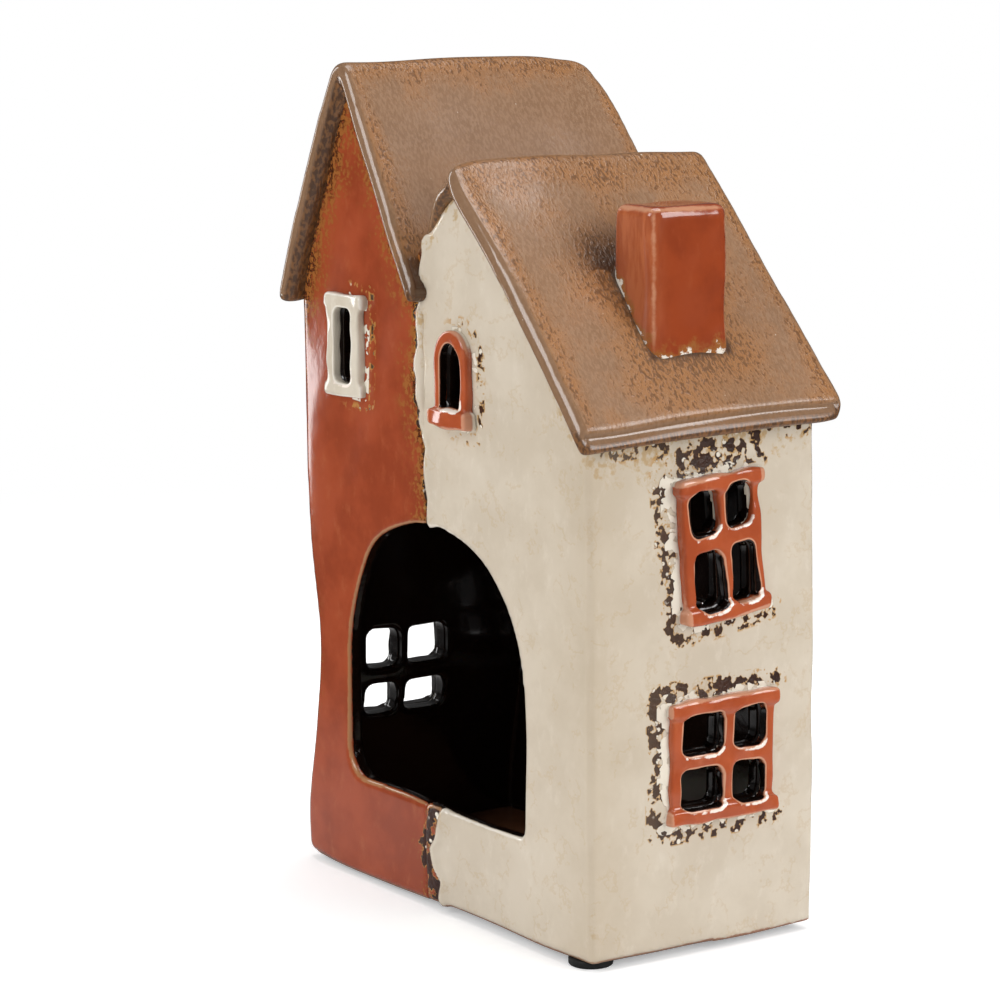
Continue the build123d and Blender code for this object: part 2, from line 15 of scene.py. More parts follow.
import bmesh
import bpy
import numpy as np
from bpy.types import Material, Mesh, NodeSocket, Object, World
from mathutils import Euler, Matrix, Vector

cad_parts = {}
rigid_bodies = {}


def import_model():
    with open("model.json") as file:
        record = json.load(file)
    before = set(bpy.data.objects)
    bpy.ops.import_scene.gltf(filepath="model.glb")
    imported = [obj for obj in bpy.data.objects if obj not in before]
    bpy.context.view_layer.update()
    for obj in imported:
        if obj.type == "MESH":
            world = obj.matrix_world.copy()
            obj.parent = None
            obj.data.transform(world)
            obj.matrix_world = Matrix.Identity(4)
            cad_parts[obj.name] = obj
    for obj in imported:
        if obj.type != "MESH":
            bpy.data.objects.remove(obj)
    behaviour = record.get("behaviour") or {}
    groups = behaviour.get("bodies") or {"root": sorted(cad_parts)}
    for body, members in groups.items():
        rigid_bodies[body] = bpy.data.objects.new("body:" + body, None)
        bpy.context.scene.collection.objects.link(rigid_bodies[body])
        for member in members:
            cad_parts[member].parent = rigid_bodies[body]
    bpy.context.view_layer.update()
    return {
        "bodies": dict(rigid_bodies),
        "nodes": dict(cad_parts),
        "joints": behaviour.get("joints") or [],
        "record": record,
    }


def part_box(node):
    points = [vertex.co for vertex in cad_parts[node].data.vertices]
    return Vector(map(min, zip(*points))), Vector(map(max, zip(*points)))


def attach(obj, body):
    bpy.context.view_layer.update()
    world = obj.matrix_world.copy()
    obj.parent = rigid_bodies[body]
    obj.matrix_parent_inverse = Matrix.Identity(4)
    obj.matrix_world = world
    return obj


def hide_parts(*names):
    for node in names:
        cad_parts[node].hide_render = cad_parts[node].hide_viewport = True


log = logging.getLogger("tealight_house")

MM = 0.001
TINY = 1e-6
EVEN = (1, 1, 1)

# What a socket can be given: a number, a vector, a hex colour or another node's output
Value = Union[float, tuple, str, NodeSocket]

# The house's plan and heights, as in the solids
GROUND = 2.0
FRONT_Y = -37.2
REAR_Y = 30.8
TALL_CORNER_X = -61.5
LOW_CORNER_X = 65.0
LOW_LEAN = 2.0 / 129.5
ARCH_X = -2.5
ARCH_RADIUS = 40.0
ARCH_SPRING = 59.9
ARCH_SILL = 26.9
ARCH_CORNERS = (9.0, 3.0)
RIDGE_ROUND = 4.8

# How far the waisted side wall lies in from the tall corner, at heights above the standing surface
WAIST_HEIGHTS = (2, 12, 17, 22, 27, 37, 47, 52, 57, 62, 67, 77, 87, 97, 107, 127, 162)
WAIST_DEPTHS = (-2.2, -2.1, -1.6, -0.9, 0.0, 1.9, 3.5, 4.0, 4.2, 4.1, 3.5, 1.9, 0.2, -0.9, -1.7, -2.4, -3.2)

# Where the edge of the ivory glaze wanders across the seam, at heights above the standing surface
SEAM_HEIGHTS = (4, 8.5, 11.4, 16.3, 20, 27, 100, 112, 119, 126, 132, 139, 146, 153, 164, 172)
SEAM_PLACES = (0, 0.5, -1.7, -3.5, -1.2, 1.5, -4.8, -5.7, -5.8, -8, -8.9, -9.6, -8.3, -8.6, -6.5, -5.5)

# Typical for fired gloss glaze; the roof's is richer in metal oxides and bends light more
GLAZE_IOR = 1.52
ROOF_IOR = 1.56
PLAIN_IOR = 1.45


def linear(hex_code: str) -> tuple:
    """Turns an sRGB hex colour into linear light.

    Args:
        hex_code: six hex digits with a leading hash.

    Returns:
        Linear red, green, blue and an alpha of 1.
    """
    channels = [int(hex_code[i : i + 2], 16) / 255 for i in (1, 3, 5)]
    return tuple(c / 12.92 if c <= 0.04045 else ((c + 0.055) / 1.055) ** 2.4 for c in channels) + (1.0,)


class Step(Enum):
    """A step of a recipe: the node's type and settings, the sockets that its values go to, and its output."""

    TIMES = ("Math", {"operation": "MULTIPLY"}, (0, 1), 0)
    PLUS = ("Math", {"operation": "ADD"}, (0, 1), 0)
    MINUS = ("Math", {"operation": "SUBTRACT"}, (0, 1), 0)
    LEAST = ("Math", {"operation": "MINIMUM"}, (0, 1), 0)
    MOST = ("Math", {"operation": "MAXIMUM"}, (0, 1), 0)
    SIZE = ("Math", {"operation": "ABSOLUTE"}, (0,), 0)
    SHIFT = ("Math", {"operation": "MULTIPLY_ADD"}, (0, 1, 2), 0)
    RAMP = ("MapRange", {"interpolation_type": "SMOOTHSTEP"}, (0, 1, 2, 3, 4), 0)
    LAY = ("Mix", {"data_type": "RGBA"}, (6, 7, 0), 2)
    MARK = ("Attribute", {}, (), "Fac")
    PLACE = ("TexCoord", {}, (), "Object")
    STRETCH = ("Mapping", {}, ("Vector", "Location", "Scale"), 0)
    NOISE = ("TexNoise", {}, ("Vector", "Scale", "Detail", "Roughness"), "Fac")
    CELLS = ("TexVoronoi", {}, ("Vector", "Scale"), "Distance")
    REACH = ("VectorMath", {"operation": "LENGTH"}, (0,), "Value")
    BUMP = ("Bump", {}, ("Height", "Distance", "Strength"), 0)
    SURFACE = ("BsdfPrincipled", {}, ("Base Color", "Roughness", "Normal"), 0)
    MATT = ("BsdfDiffuse", {}, ("Color",), 0)
    GLOW = ("Emission", {}, ("Strength",), 0)
    BOTH = ("AddShader", {}, (0, 1), 0)
    EITHER = ("MixShader", {}, (0, 1, 2), 0)
    SEEN = ("LightPath", {}, (), "Is Camera Ray")
    MIRRORED = ("LightPath", {}, (), "Is Glossy Ray")
    SKY = ("Background", {}, ("Color", "Strength"), 0)
    END = ("OutputMaterial", {}, ("Surface",), None)
    SKY_END = ("OutputWorld", {}, ("Surface",), None)


@dataclass
class Recipe:
    """The node tree of a material or a world while it is being written."""

    owner: Union[Material, World]

    def __post_init__(self) -> None:
        """Empties the tree."""
        self.owner.use_nodes = True
        self.owner.node_tree.nodes.clear()

    def add(self, step: Step, *values: Value, **settings: str) -> Optional[NodeSocket]:
        """Adds one node with its settings and links.

        Args:
            step: the kind of node.
            values: what the step's sockets are given, in their order.
            settings: further properties of the node.

        Returns:
            The node's output, if the step has one.
        """
        kind, fixed, sockets, output = step.value
        node = self.owner.node_tree.nodes.new("ShaderNode" + kind)
        for key, value in {**fixed, **settings}.items():
            setattr(node, key, value)
        for key, value in zip(sockets, values):
            if isinstance(value, NodeSocket):
                self.owner.node_tree.links.new(value, node.inputs[key])
            else:
                node.inputs[key].default_value = linear(value) if isinstance(value, str) else value
        return None if output is None else node.outputs[output]

    def grain(
        self, size_mm: float, detail: float, rough: float = 0.55, stretch: tuple = EVEN, seed: float = 0.0
    ) -> NodeSocket:
        """Noise whose blotches are about size_mm across.

        Args:
            size_mm: the size of a blotch.
            detail: octaves of finer noise.
            rough: how strong the finer octaves are.
            stretch: factors along the object's axes.
            seed: moves the pattern.

        Returns:
            A value round 0.5.
        """
        place = self.add(Step.STRETCH, self.add(Step.PLACE), (seed, seed * 0.7, seed * 1.3), stretch)
        return self.add(Step.NOISE, place, 1 / (size_mm * MM), detail, rough)

    def blobs(self, size_mm: float, detail: float, stretch: tuple = EVEN, seed: float = 0.0) -> NodeSocket:
        """Noise drawn out to the whole span from 0 to 1, with grain's arguments."""
        return self.add(Step.RAMP, self.grain(size_mm, detail, 0.55, stretch, seed), 0.3, 0.7)

    def swayed(self, value: Value, *waves: tuple) -> NodeSocket:
        """A value moved up and down by noises.

        Args:
            value: what is moved.
            waves: pairs of a noise round 0.5 and how far it moves the value.

        Returns:
            The moved value.
        """
        for noise, reach in waves:
            value = self.add(Step.MINUS, self.add(Step.SHIFT, noise, reach, value), reach / 2)
        return value

    def marked(self, mark: str, *waves: tuple) -> NodeSocket:
        """The value stored on the mesh under a name, moved by noises as in swayed."""
        return self.swayed(self.add(Step.MARK, attribute_name=mark), *waves)

    def patchy(self, mark: str, *waves: tuple) -> NodeSocket:
        """A mark on the mesh broken up by noises, and zero where the mark is.

        Args:
            mark: the mark's name.
            waves: pairs of a noise round 0.5 and how far it moves the mark.

        Returns:
            The broken mark.
        """
        value = self.marked(mark)
        return self.add(Step.LEAST, self.swayed(value, *waves), self.add(Step.TIMES, value, 3.0))

    def coated(self, colour: Value, *coats: tuple) -> NodeSocket:
        """Lays colours over a colour.

        Args:
            colour: the lowest one.
            coats: each a colour, the mask that it shows through and, if the mask isn't a share yet, its ramp.

        Returns:
            The colour on top.
        """
        for top, mask, *ramp in coats:
            colour = self.add(Step.LAY, colour, top, self.add(Step.RAMP, mask, *ramp) if ramp else mask)
        return colour

    def finish(
        self, colour: Value, roughness: Value, relief: Value, depth_mm: float, **surface: float
    ) -> Material:
        """Ends the recipe in one surface.

        Args:
            colour: base colour.
            roughness: how blurred reflections are.
            relief: height of the fine relief, from 0 to 1.
            depth_mm: what a relief of 1 stands for.
            surface: further sockets of the surface, such as Coat_Weight.

        Returns:
            The finished material.
        """
        shader = self.add(Step.SURFACE, colour, roughness, self.add(Step.BUMP, relief, depth_mm * MM, 1.0))
        for key, value in surface.items():
            shader.node.inputs[key.replace("_", " ")].default_value = value
        self.add(Step.END, shader)
        return self.owner


def fade(gap: np.ndarray, width: Union[float, np.ndarray], start: float = 0.0) -> np.ndarray:
    """1 as far as start, and less and less beyond it."""
    return np.exp(-np.maximum(gap - start, 0) / width)


def bell(gap: np.ndarray, width: float, middle: float = 0.0) -> np.ndarray:
    """1 at the middle, and less and less on both sides of it."""
    return np.exp(-(((gap - middle) / width) ** 2))


def bowed(share: np.ndarray, places: tuple) -> np.ndarray:
    """A smooth curve through three values.

    Args:
        share: how far along the curve, from 0 to 1.
        places: the values at 0, a half and 1.

    Returns:
        One value for each share.
    """
    first, middle, last = places
    weights = 2 * (share - 0.5) * (share - 1), -4 * share * (share - 1), 2 * share * (share - 0.5)
    return first * weights[0] + middle * weights[1] + last * weights[2]


@dataclass(frozen=True)
class Slope:
    """The outer surface of one roof slab, from ridge to eave, and its overhangs."""

    ridge: tuple
    eave: tuple
    front: tuple
    rear: tuple
    thickness: float = 4.7

    @property
    def run(self) -> float:
        """Level distance from ridge to eave, with its sign."""
        return self.eave[0] - self.ridge[0]

    @property
    def length(self) -> float:
        """The slope's length from ridge to eave."""
        return math.dist(self.ridge, self.eave)

    def below(self, at: np.ndarray) -> np.ndarray:
        """How far points lie under the outer surface, square to it."""
        height = self.ridge[1] - (at[:, 0] - self.ridge[0]) * (self.ridge[1] - self.eave[1]) / self.run
        return (height - at[:, 2]) * abs(self.run) / self.length

    def down(self, at: np.ndarray) -> np.ndarray:
        """How far points lie from the ridge, measured down the slope."""
        return (at[:, 0] - self.ridge[0]) / self.run * self.length

    def rakes(self, at: np.ndarray) -> tuple:
        """How far points lie in from the front rake and from the rear one."""
        share = np.clip((at[:, 0] - self.ridge[0]) / self.run, 0, 1)
        return at[:, 1] - FRONT_Y + bowed(share, self.front), REAR_Y + bowed(share, self.rear) - at[:, 1]

    def inward(self) -> tuple:
        """The directions square into the slab and up its slope."""
        level, drop = self.run / self.length, (self.ridge[1] - self.eave[1]) / self.length
        return (-math.copysign(drop, self.run), 0.0, -abs(level)), (-level, 0.0, drop)


TALL_SLOPES = (
    Slope((-41.7, 219.0), (-69.75, 153.7), (3.3, 4.2, 5.0), (3.3, 4.2, 5.0)),
    Slope((-41.7, 219.0), (-3.5, 156.9), (3.3, 4.2, 5.0), (3.3, 12.4, 12.4)),
)
LOW_SLOPES = (
    Slope((15.0, 193.0), (-41.7, 145.4), (7.0, -4.9, -16.8), (3.3, 4.2, 5.0)),
    Slope((15.0, 193.0), (69.1, 131.5), (7.0, 6.4, 5.4), (2.4, 3.5, 6.2)),
)


def roof_depth(at: np.ndarray, slopes: tuple) -> tuple:
    """How deep points lie under a roof's outer surface with its round ridge.

    Args:
        at: points, one row each.
        slopes: the roof's two slopes.

    Returns:
        The depths, the directions square into the slabs, and which slope each point belongs to.
    """
    side = np.array([slope.down(at) for slope in slopes]).argmax(axis=0)
    depth = np.where(side == 0, *[slope.below(at) for slope in slopes])
    into = np.array([slope.inward()[0] for slope in slopes])[side]
    falls = [-np.array(slope.inward()[1])[[0, 2]] for slope in slopes]
    half = math.acos(falls[0] @ falls[1]) / 2
    middle = (falls[0] + falls[1]) / np.linalg.norm(falls[0] + falls[1])
    from_axis = at[:, [0, 2]] - np.array(slopes[0].ridge) - middle * RIDGE_ROUND / math.sin(half)
    reach = np.maximum(np.linalg.norm(from_axis, axis=1), TINY)
    crown = (from_axis @ falls[0] < 0) & (from_axis @ falls[1] < 0)
    radial = np.stack((-from_axis[:, 0] / reach, np.zeros(len(at)), -from_axis[:, 1] / reach), axis=1)
    return np.where(crown, RIDGE_ROUND - reach, depth), np.where(crown[:, None], radial, into), side


class Wall(Enum):
    """The outer walls: the axis along the wall, its sign seen from outside, and its row in wall_gaps."""

    FRONT = (0, 1, 0)
    REAR = (0, -1, 1)
    TALL_SIDE = (1, -1, 2)
    LOW_SIDE = (1, 1, 3)


# Square into the walls, in the order of wall_gaps
INWARD = ((0, 1, 0), (0, -1, 0), (1, 0, 0), (-1, 0, 0))


def wall_gaps(at: np.ndarray) -> np.ndarray:
    """How deep points lie behind the outer walls.

    Args:
        at: points, one row each.

    Returns:
        One row for each wall: front, rear, waisted tall side and leaning low side.
    """
    x, y, z = at.T
    tall_side = TALL_CORNER_X + np.interp(z, WAIST_HEIGHTS, WAIST_DEPTHS)
    low_side = LOW_CORNER_X - LOW_LEAN * (z - GROUND)
    return np.stack((y - FRONT_Y, REAR_Y - y, x - tall_side, low_side - x))


def seam_x(height: np.ndarray) -> np.ndarray:
    """Where the scalloped edge of the ivory glaze lies at a height."""
    scallop = np.abs(np.sin(height / 3.1 + 0.6 * np.sin(height / 7.0)))
    return np.interp(height, SEAM_HEIGHTS, SEAM_PLACES) + 0.9 * (0.5 - scallop)


def arch_gap(at: np.ndarray) -> np.ndarray:
    """How far points lie outside the arch's outline, seen from the front.

    Args:
        at: points, one row each.

    Returns:
        Signed distances, negative inside the arch.
    """
    x, z = at[:, 0] - ARCH_X, at[:, 2]
    corner = np.where(x < 0, *ARCH_CORNERS)
    over = np.stack((np.abs(x) - ARCH_RADIUS + corner, ARCH_SILL + corner - z))
    legs = np.hypot(*np.maximum(over, 0)) + np.minimum(over.max(axis=0), 0) - corner
    return np.where(z > ARCH_SPRING, np.hypot(x, z - ARCH_SPRING) - ARCH_RADIUS, legs)


def rolled(at: np.ndarray, faces: list, radius: Union[float, np.ndarray]) -> np.ndarray:
    """Rounds the arrises where faces meet.

    Args:
        at: points, one row each.
        faces: pairs of how deep each point lies behind a face and of that face's inward direction.
        radius: the radius wanted, one for all points or one for each.

    Returns:
        The moved points.
    """
    short = np.stack([np.maximum(radius - np.maximum(gap, 0), 0) for gap, _ in faces])
    reach = np.sqrt((short**2).sum(axis=0))
    share = np.where(reach > radius, 1 - radius / np.maximum(reach, TINY), 0)
    moved = at.copy()
    for depth, (_, inward) in zip(short * share, faces):
        moved += depth[:, None] * np.asarray(inward, dtype=float)
    return moved


@dataclass(frozen=True)
class Opening:
    """A rectangle on a wall, with a round head or without, seen from outside."""

    x: float
    y: float
    width: float
    height: float
    head: bool = False
    corner: float = 0.0

    def outside(self, u: np.ndarray, v: np.ndarray) -> np.ndarray:
        """Signed distance from the outline.

        Args:
            u: places across the window.
            v: places up the window.

        Returns:
            Distances, positive outside the outline.
        """
        sides = np.abs(u - self.x) - self.width / 2, np.abs(v - self.y) - self.height / 2
        over = np.stack(sides) + self.corner
        flat = np.hypot(*np.maximum(over, 0)) + np.minimum(over.max(axis=0), 0) - self.corner
        if not self.head:
            return flat
        radius = self.width / 2
        round_top = np.hypot(u - self.x, np.maximum(v - self.y - self.height / 2 + radius, 0)) - radius
        return np.where(v - self.y > self.height / 2 - radius, round_top, flat)

    def pooled(self, u: np.ndarray, v: np.ndarray) -> np.ndarray:
        """Where a white highlight is painted along the opening's lower edge, strongest towards its right, as
        pale glaze.

        Args:
            u: places across the window.
            v: places up the window.

        Returns:
            Shares from 0 to 1.
        """
        low = np.clip((self.y - 0.2 * self.height - v) / (0.25 * self.height), 0, 1)
        lean = np.clip(0.75 + 0.5 * (u - self.x) / self.width, 0, 1)
        return low * lean * bell(self.outside(u, v), 0.7, 0.7)


class FrameKind(Enum):
    """The glazes that window frames come in."""

    RED = "terracotta"
    CREAM = "cream with a brown skirt"
    SLIT = "cream all through"


@dataclass(frozen=True)
class Window:
    """Where a frame sits on its wall, its openings and how the glaze crawled from it.

    lee is the side, -1 or 1, on which the crust lies; scorch is how far it climbs over the head.
    """

    node: str
    wall: Wall
    along: float
    height: float
    outline: Opening
    panes: tuple
    kind: FrameKind = FrameKind.RED
    tilt: float = 0.0
    lee: float = -1.0
    crawl: float = 1.0
    scorch: float = 0.0
    skin: float = 1.8

    def local(self, at: np.ndarray) -> tuple:
        """Points as distances across and up the frame, and out of its wall.

        Args:
            at: points, one row each.

        Returns:
            Across, up and out.
        """
        axis, sign, row = self.wall.value
        across, up = sign * (at[:, axis] - self.along), at[:, 2] - self.height
        turn = math.radians(self.tilt)
        u = across * math.cos(turn) + up * math.sin(turn)
        v = up * math.cos(turn) - across * math.sin(turn)
        return u, v, -wall_gaps(at)[row]

    def to_pane(self, u: np.ndarray, v: np.ndarray) -> np.ndarray:
        """Signed distance from the nearest pane, positive outside it."""
        return np.min([pane.outside(u, v) for pane in self.panes], axis=0)

    def crawled(self, at: np.ndarray) -> tuple:
        """How far the wall's glaze pooled against the frame and crawled back to brown round it.

        Args:
            at: points, one row each.

        Returns:
            The white fringe and the brown crust, from 0 to 1.
        """
        u, v, proud = self.local(at)
        gap, on_face = self.outline.outside(u, v), np.abs(proud) < self.skin
        wide, tall = self.outline.width / 2, self.outline.height / 2
        side = np.clip(0.2 + 0.8 * self.lee * u / wide, 0.0, 1.0)
        ends = np.clip((np.abs(v) - 0.8 * tall) / (0.25 * tall), 0, 1)
        ends = ends * np.clip(0.75 + 0.3 * self.lee * u / wide, 0, 1)
        favour = self.crawl * np.maximum(side, ends) * on_face
        fringe = favour * fade(gap, 1.1, 0.4)
        crust = 0.75 * favour * bell(gap, 2.4, 2.4)
        if self.scorch:
            above = (v > tall) * bell(u, 1.1 * wide) * np.clip(1.6 - (v - tall) / self.scorch, 0, 1)
            crust = np.maximum(crust, 0.74 * above * on_face)
        return fringe, crust


def four_panes(columns: tuple, rows: tuple, post: float, bar: float) -> tuple:
    """The four openings of a window.

    Args:
        columns: the panes' widths, left and right.
        rows: the panes' heights, upper and lower.
        post: width of the upright bar.
        bar: height of the cross bar.

    Returns:
        The openings.
    """
    wide, tall = columns[0] + post + columns[1], rows[0] + bar + rows[1]
    return tuple(
        Opening(x, y, w, h, corner=2.6)
        for x, w in ((columns[0] / 2 - wide / 2, columns[0]), (wide / 2 - columns[1] / 2, columns[1]))
        for y, h in ((tall / 2 - rows[0] / 2, rows[0]), (rows[1] / 2 - tall / 2, rows[1]))
    )


UPPER = (Opening(0, 0, 27.4, 35.0), four_panes((9.2, 8.2), (10.6, 14.4), 2.3, 4.2))
LOWER = (Opening(0, 0, 33.5, 30.3), four_panes((12.6, 10.0), (10.2, 10.0), 3.0, 3.3))
TALL_LOWER = (Opening(0, 0, 33.5, 30.3), four_panes((12.8, 10.4), (11.0, 8.8), 2.0, 4.0))
SLIT = (Opening(0, 0, 17.6, 26.5), (Opening(0, 0, 8.0, 19.4, corner=2.4),))
ARCHED = (Opening(0, 0, 15.5, 24.0, head=True), (Opening(0, 0.85, 8.6, 15.8, head=True),))

WINDOWS = (
    Window("side_upper_window", Wall.LOW_SIDE, 0.6, 100.7, *UPPER, tilt=4.0, scorch=9.0),
    Window("side_lower_window", Wall.LOW_SIDE, 0.8, 48.5, *LOWER),
    Window("front_slit_window", Wall.FRONT, -41.1, 141.1, *SLIT, FrameKind.SLIT, lee=1.0, crawl=0.3),
    Window("front_arched_window", Wall.FRONT, 8.5, 137.4, *ARCHED, lee=1.0, crawl=0.35),
    Window("tall_side_upper_window", Wall.TALL_SIDE, -4.2, 108.9, *UPPER, FrameKind.CREAM, crawl=0.7),
    Window("tall_side_lower_window", Wall.TALL_SIDE, -11.9, 51.1, *TALL_LOWER, FrameKind.CREAM, crawl=0.7),
    Window("rear_slit_window", Wall.REAR, -41.1, 141.1, *SLIT, FrameKind.SLIT, lee=1.0, crawl=0.3),
    Window("rear_arched_window", Wall.REAR, 8.5, 137.4, *ARCHED, lee=1.0, crawl=0.35),
    Window("rear_tall_window", Wall.REAR, -32.5, 64.9, *LOWER, FrameKind.CREAM, crawl=0.7),
    Window("rear_low_window", Wall.REAR, 30.0, 64.9, *LOWER),
)


@dataclass(frozen=True)
class Nudge:
    """A push of the potter's hand: clay round a point is shifted, and turned about X, less with distance."""

    point: tuple
    reach: float
    shift: tuple
    turn: float = 0.0


HAND = (
    Nudge((69.0, -42.0, 129.0), 16.0, (0.0, 0.0, -2.0)),
    Nudge((69.0, 36.0, 130.0), 7.0, (0.4, 0.2, -0.4)),
    Nudge((70.0, 38.0, 125.0), 4.5, (-0.8, -2.0, 1.2)),
    Nudge((-36.0, -37.0, 2.0), 22.0, (0.0, 0.0, -1.0)),
    Nudge((-25.0, -37.0, 27.0), 15.0, (0.0, 0.0, 1.0)),
    Nudge((-31.0, -37.0, 91.0), 8.0, (-1.2, 0.0, 1.6)),
    Nudge((5.0, -37.0, 99.0), 10.0, (0.0, 0.0, -1.0)),
    Nudge((-66.0, -40.0, 152.0), 6.0, (0.2, 0.1, -2.0)),
    Nudge((15.0, -42.0, 186.0), 13.0, (-4.2, 0.3, -0.4)),
    Nudge((11.0, -45.0, 190.0), 5.5, (1.0, 2.2, -2.0)),
    Nudge((-41.7, 15.0, 213.0), 22.0, (0.0, 0.0, 0.7)),
    Nudge((-41.7, 34.0, 213.0), 7.0, (0.0, -0.8, -1.4)),
    Nudge((65.0, 0.6, 98.0), 20.0, (0.0, 0.6, -0.8), turn=5.0),
)


def hand_bent(at: np.ndarray) -> np.ndarray:
    """How far the hand moved points.

    Args:
        at: points, one row each.

    Returns:
        One shift for each point.
    """
    moved = np.zeros_like(at)
    for nudge in HAND:
        away = ((at - np.array(nudge.point)) ** 2).sum(axis=1)
        spin = math.radians(nudge.turn) * np.cross((1.0, 0.0, 0.0), at - np.array(nudge.point))
        moved += np.exp(-away / (2 * nudge.reach**2))[:, None] * (np.array(nudge.shift) + spin)
    return moved


def ripple(at: np.ndarray, size_mm: float, seed: int, waves: int = 28) -> np.ndarray:
    """A smooth random field round zero, made of waves about size_mm long.

    Args:
        at: points, one row each.
        size_mm: the waves' length.
        seed: picks the waves.
        waves: how many are added up.

    Returns:
        One value for each point, mostly between -1 and 1.
    """
    rng = np.random.default_rng(seed)
    total = np.zeros(len(at))
    for _ in range(waves):
        heading = rng.normal(size=3)
        heading *= 2 * math.pi / (size_mm * rng.uniform(0.7, 1.6)) / np.linalg.norm(heading)
        total += np.sin(at @ heading + rng.uniform(0, 2 * math.pi))
    return total / math.sqrt(waves / 2) / 1.6


def settled(at: np.ndarray, edges: np.ndarray, rounds: int) -> np.ndarray:
    """Points drawn towards the middle of their neighbours, as thick glaze settles.

    Args:
        at: points, one row each.
        edges: pairs of neighbours, by number.
        rounds: how often the points are drawn.

    Returns:
        The settled points.
    """
    count = np.maximum(np.bincount(edges.ravel(), minlength=len(at)), 1)[:, None]
    for _ in range(rounds):
        total = np.zeros_like(at)
        np.add.at(total, edges[:, 0], at[edges[:, 1]])
        np.add.at(total, edges[:, 1], at[edges[:, 0]])
        at = at + 0.5 * (total / count - at)
    return at


@dataclass(frozen=True)
class Coat:
    """The colours of one glaze: open, deep and pale, where it breaks thin, and its crawled crust."""

    body: str
    deep: str
    pale: str
    thin: str
    crust: str = "#3a1f11"

    def melt(self, recipe: Recipe, seed: float = 0.11) -> NodeSocket:
        """The colour of an open stretch of glaze, clouded by its melt.

        Args:
            recipe: the recipe it goes into.
            seed: moves the clouds.

        Returns:
            The colour.
        """
        cloud = recipe.grain(17, 4, 0.6, seed=seed)
        fleck = recipe.grain(4.5, 5, 0.65, (1, 1, 0.6), seed + 0.06)
        clouds, flecks = (self.body, cloud, 0.34, 0.66), (self.pale, fleck, 0.52, 0.76, 0.0, 0.5)
        return recipe.coated(self.deep, clouds, flecks)


TERRACOTTA = Coat("#9f4829", "#8c3c20", "#aa5b38", "#8d5527", "#3c1c0b")
FRAME_RED = Coat("#b05531", "#a04826", "#bd6a43", "#a8642c", "#4a2511")
STACK_RED = Coat("#94401f", "#85371b", "#9c4c2c", "#96622f")
IVORY = Coat("#d0c4b2", "#c7baa7", "#dbd1c2", "#b5935f", "#2c1006")
TAUPE = Coat("#916e52", "#856347", "#9c7b5f", "#ded3c4", "#432814")
CREAM = Coat("#d3c9b8", "#c8bca9", "#e2dacd", "#a98355")
UMBER = Coat("#6e4630", "#5a3623", "#83583d", "#8a6240", "#2a180e")
# Near black: painted shade inside the chamber and in the pane reveals
CHAMBER_SHADE = "#140a06"


@dataclass(frozen=True)
class Glaze:
    """A finish of one glaze."""

    name: str
    coat: Coat
    rough: float = 0.14
    ior: float = GLAZE_IOR
    film: tuple = (0.35, 0.06)

    @property
    def gloss(self) -> dict:
        """How strongly the glaze bends light, and the weight and roughness of its clear outer film."""
        return {"IOR": self.ior, "Coat_Weight": self.film[0], "Coat_Roughness": self.film[1]}

    def material(self) -> Material:
        """Writes the finish, or returns the one already written."""
        return bpy.data.materials.get(self.name) or self.write(Recipe(bpy.data.materials.new(self.name)))

    def write(self, recipe: Recipe) -> Material:
        """Writes a plain stretch of this glaze.

        Args:
            recipe: the empty recipe.

        Returns:
            The finished material.
        """
        waves, colour = recipe.grain(9, 2, 0.4, seed=0.31), self.coat.melt(recipe)
        return recipe.finish(colour, self.rough, waves, 0.12, **self.gloss)


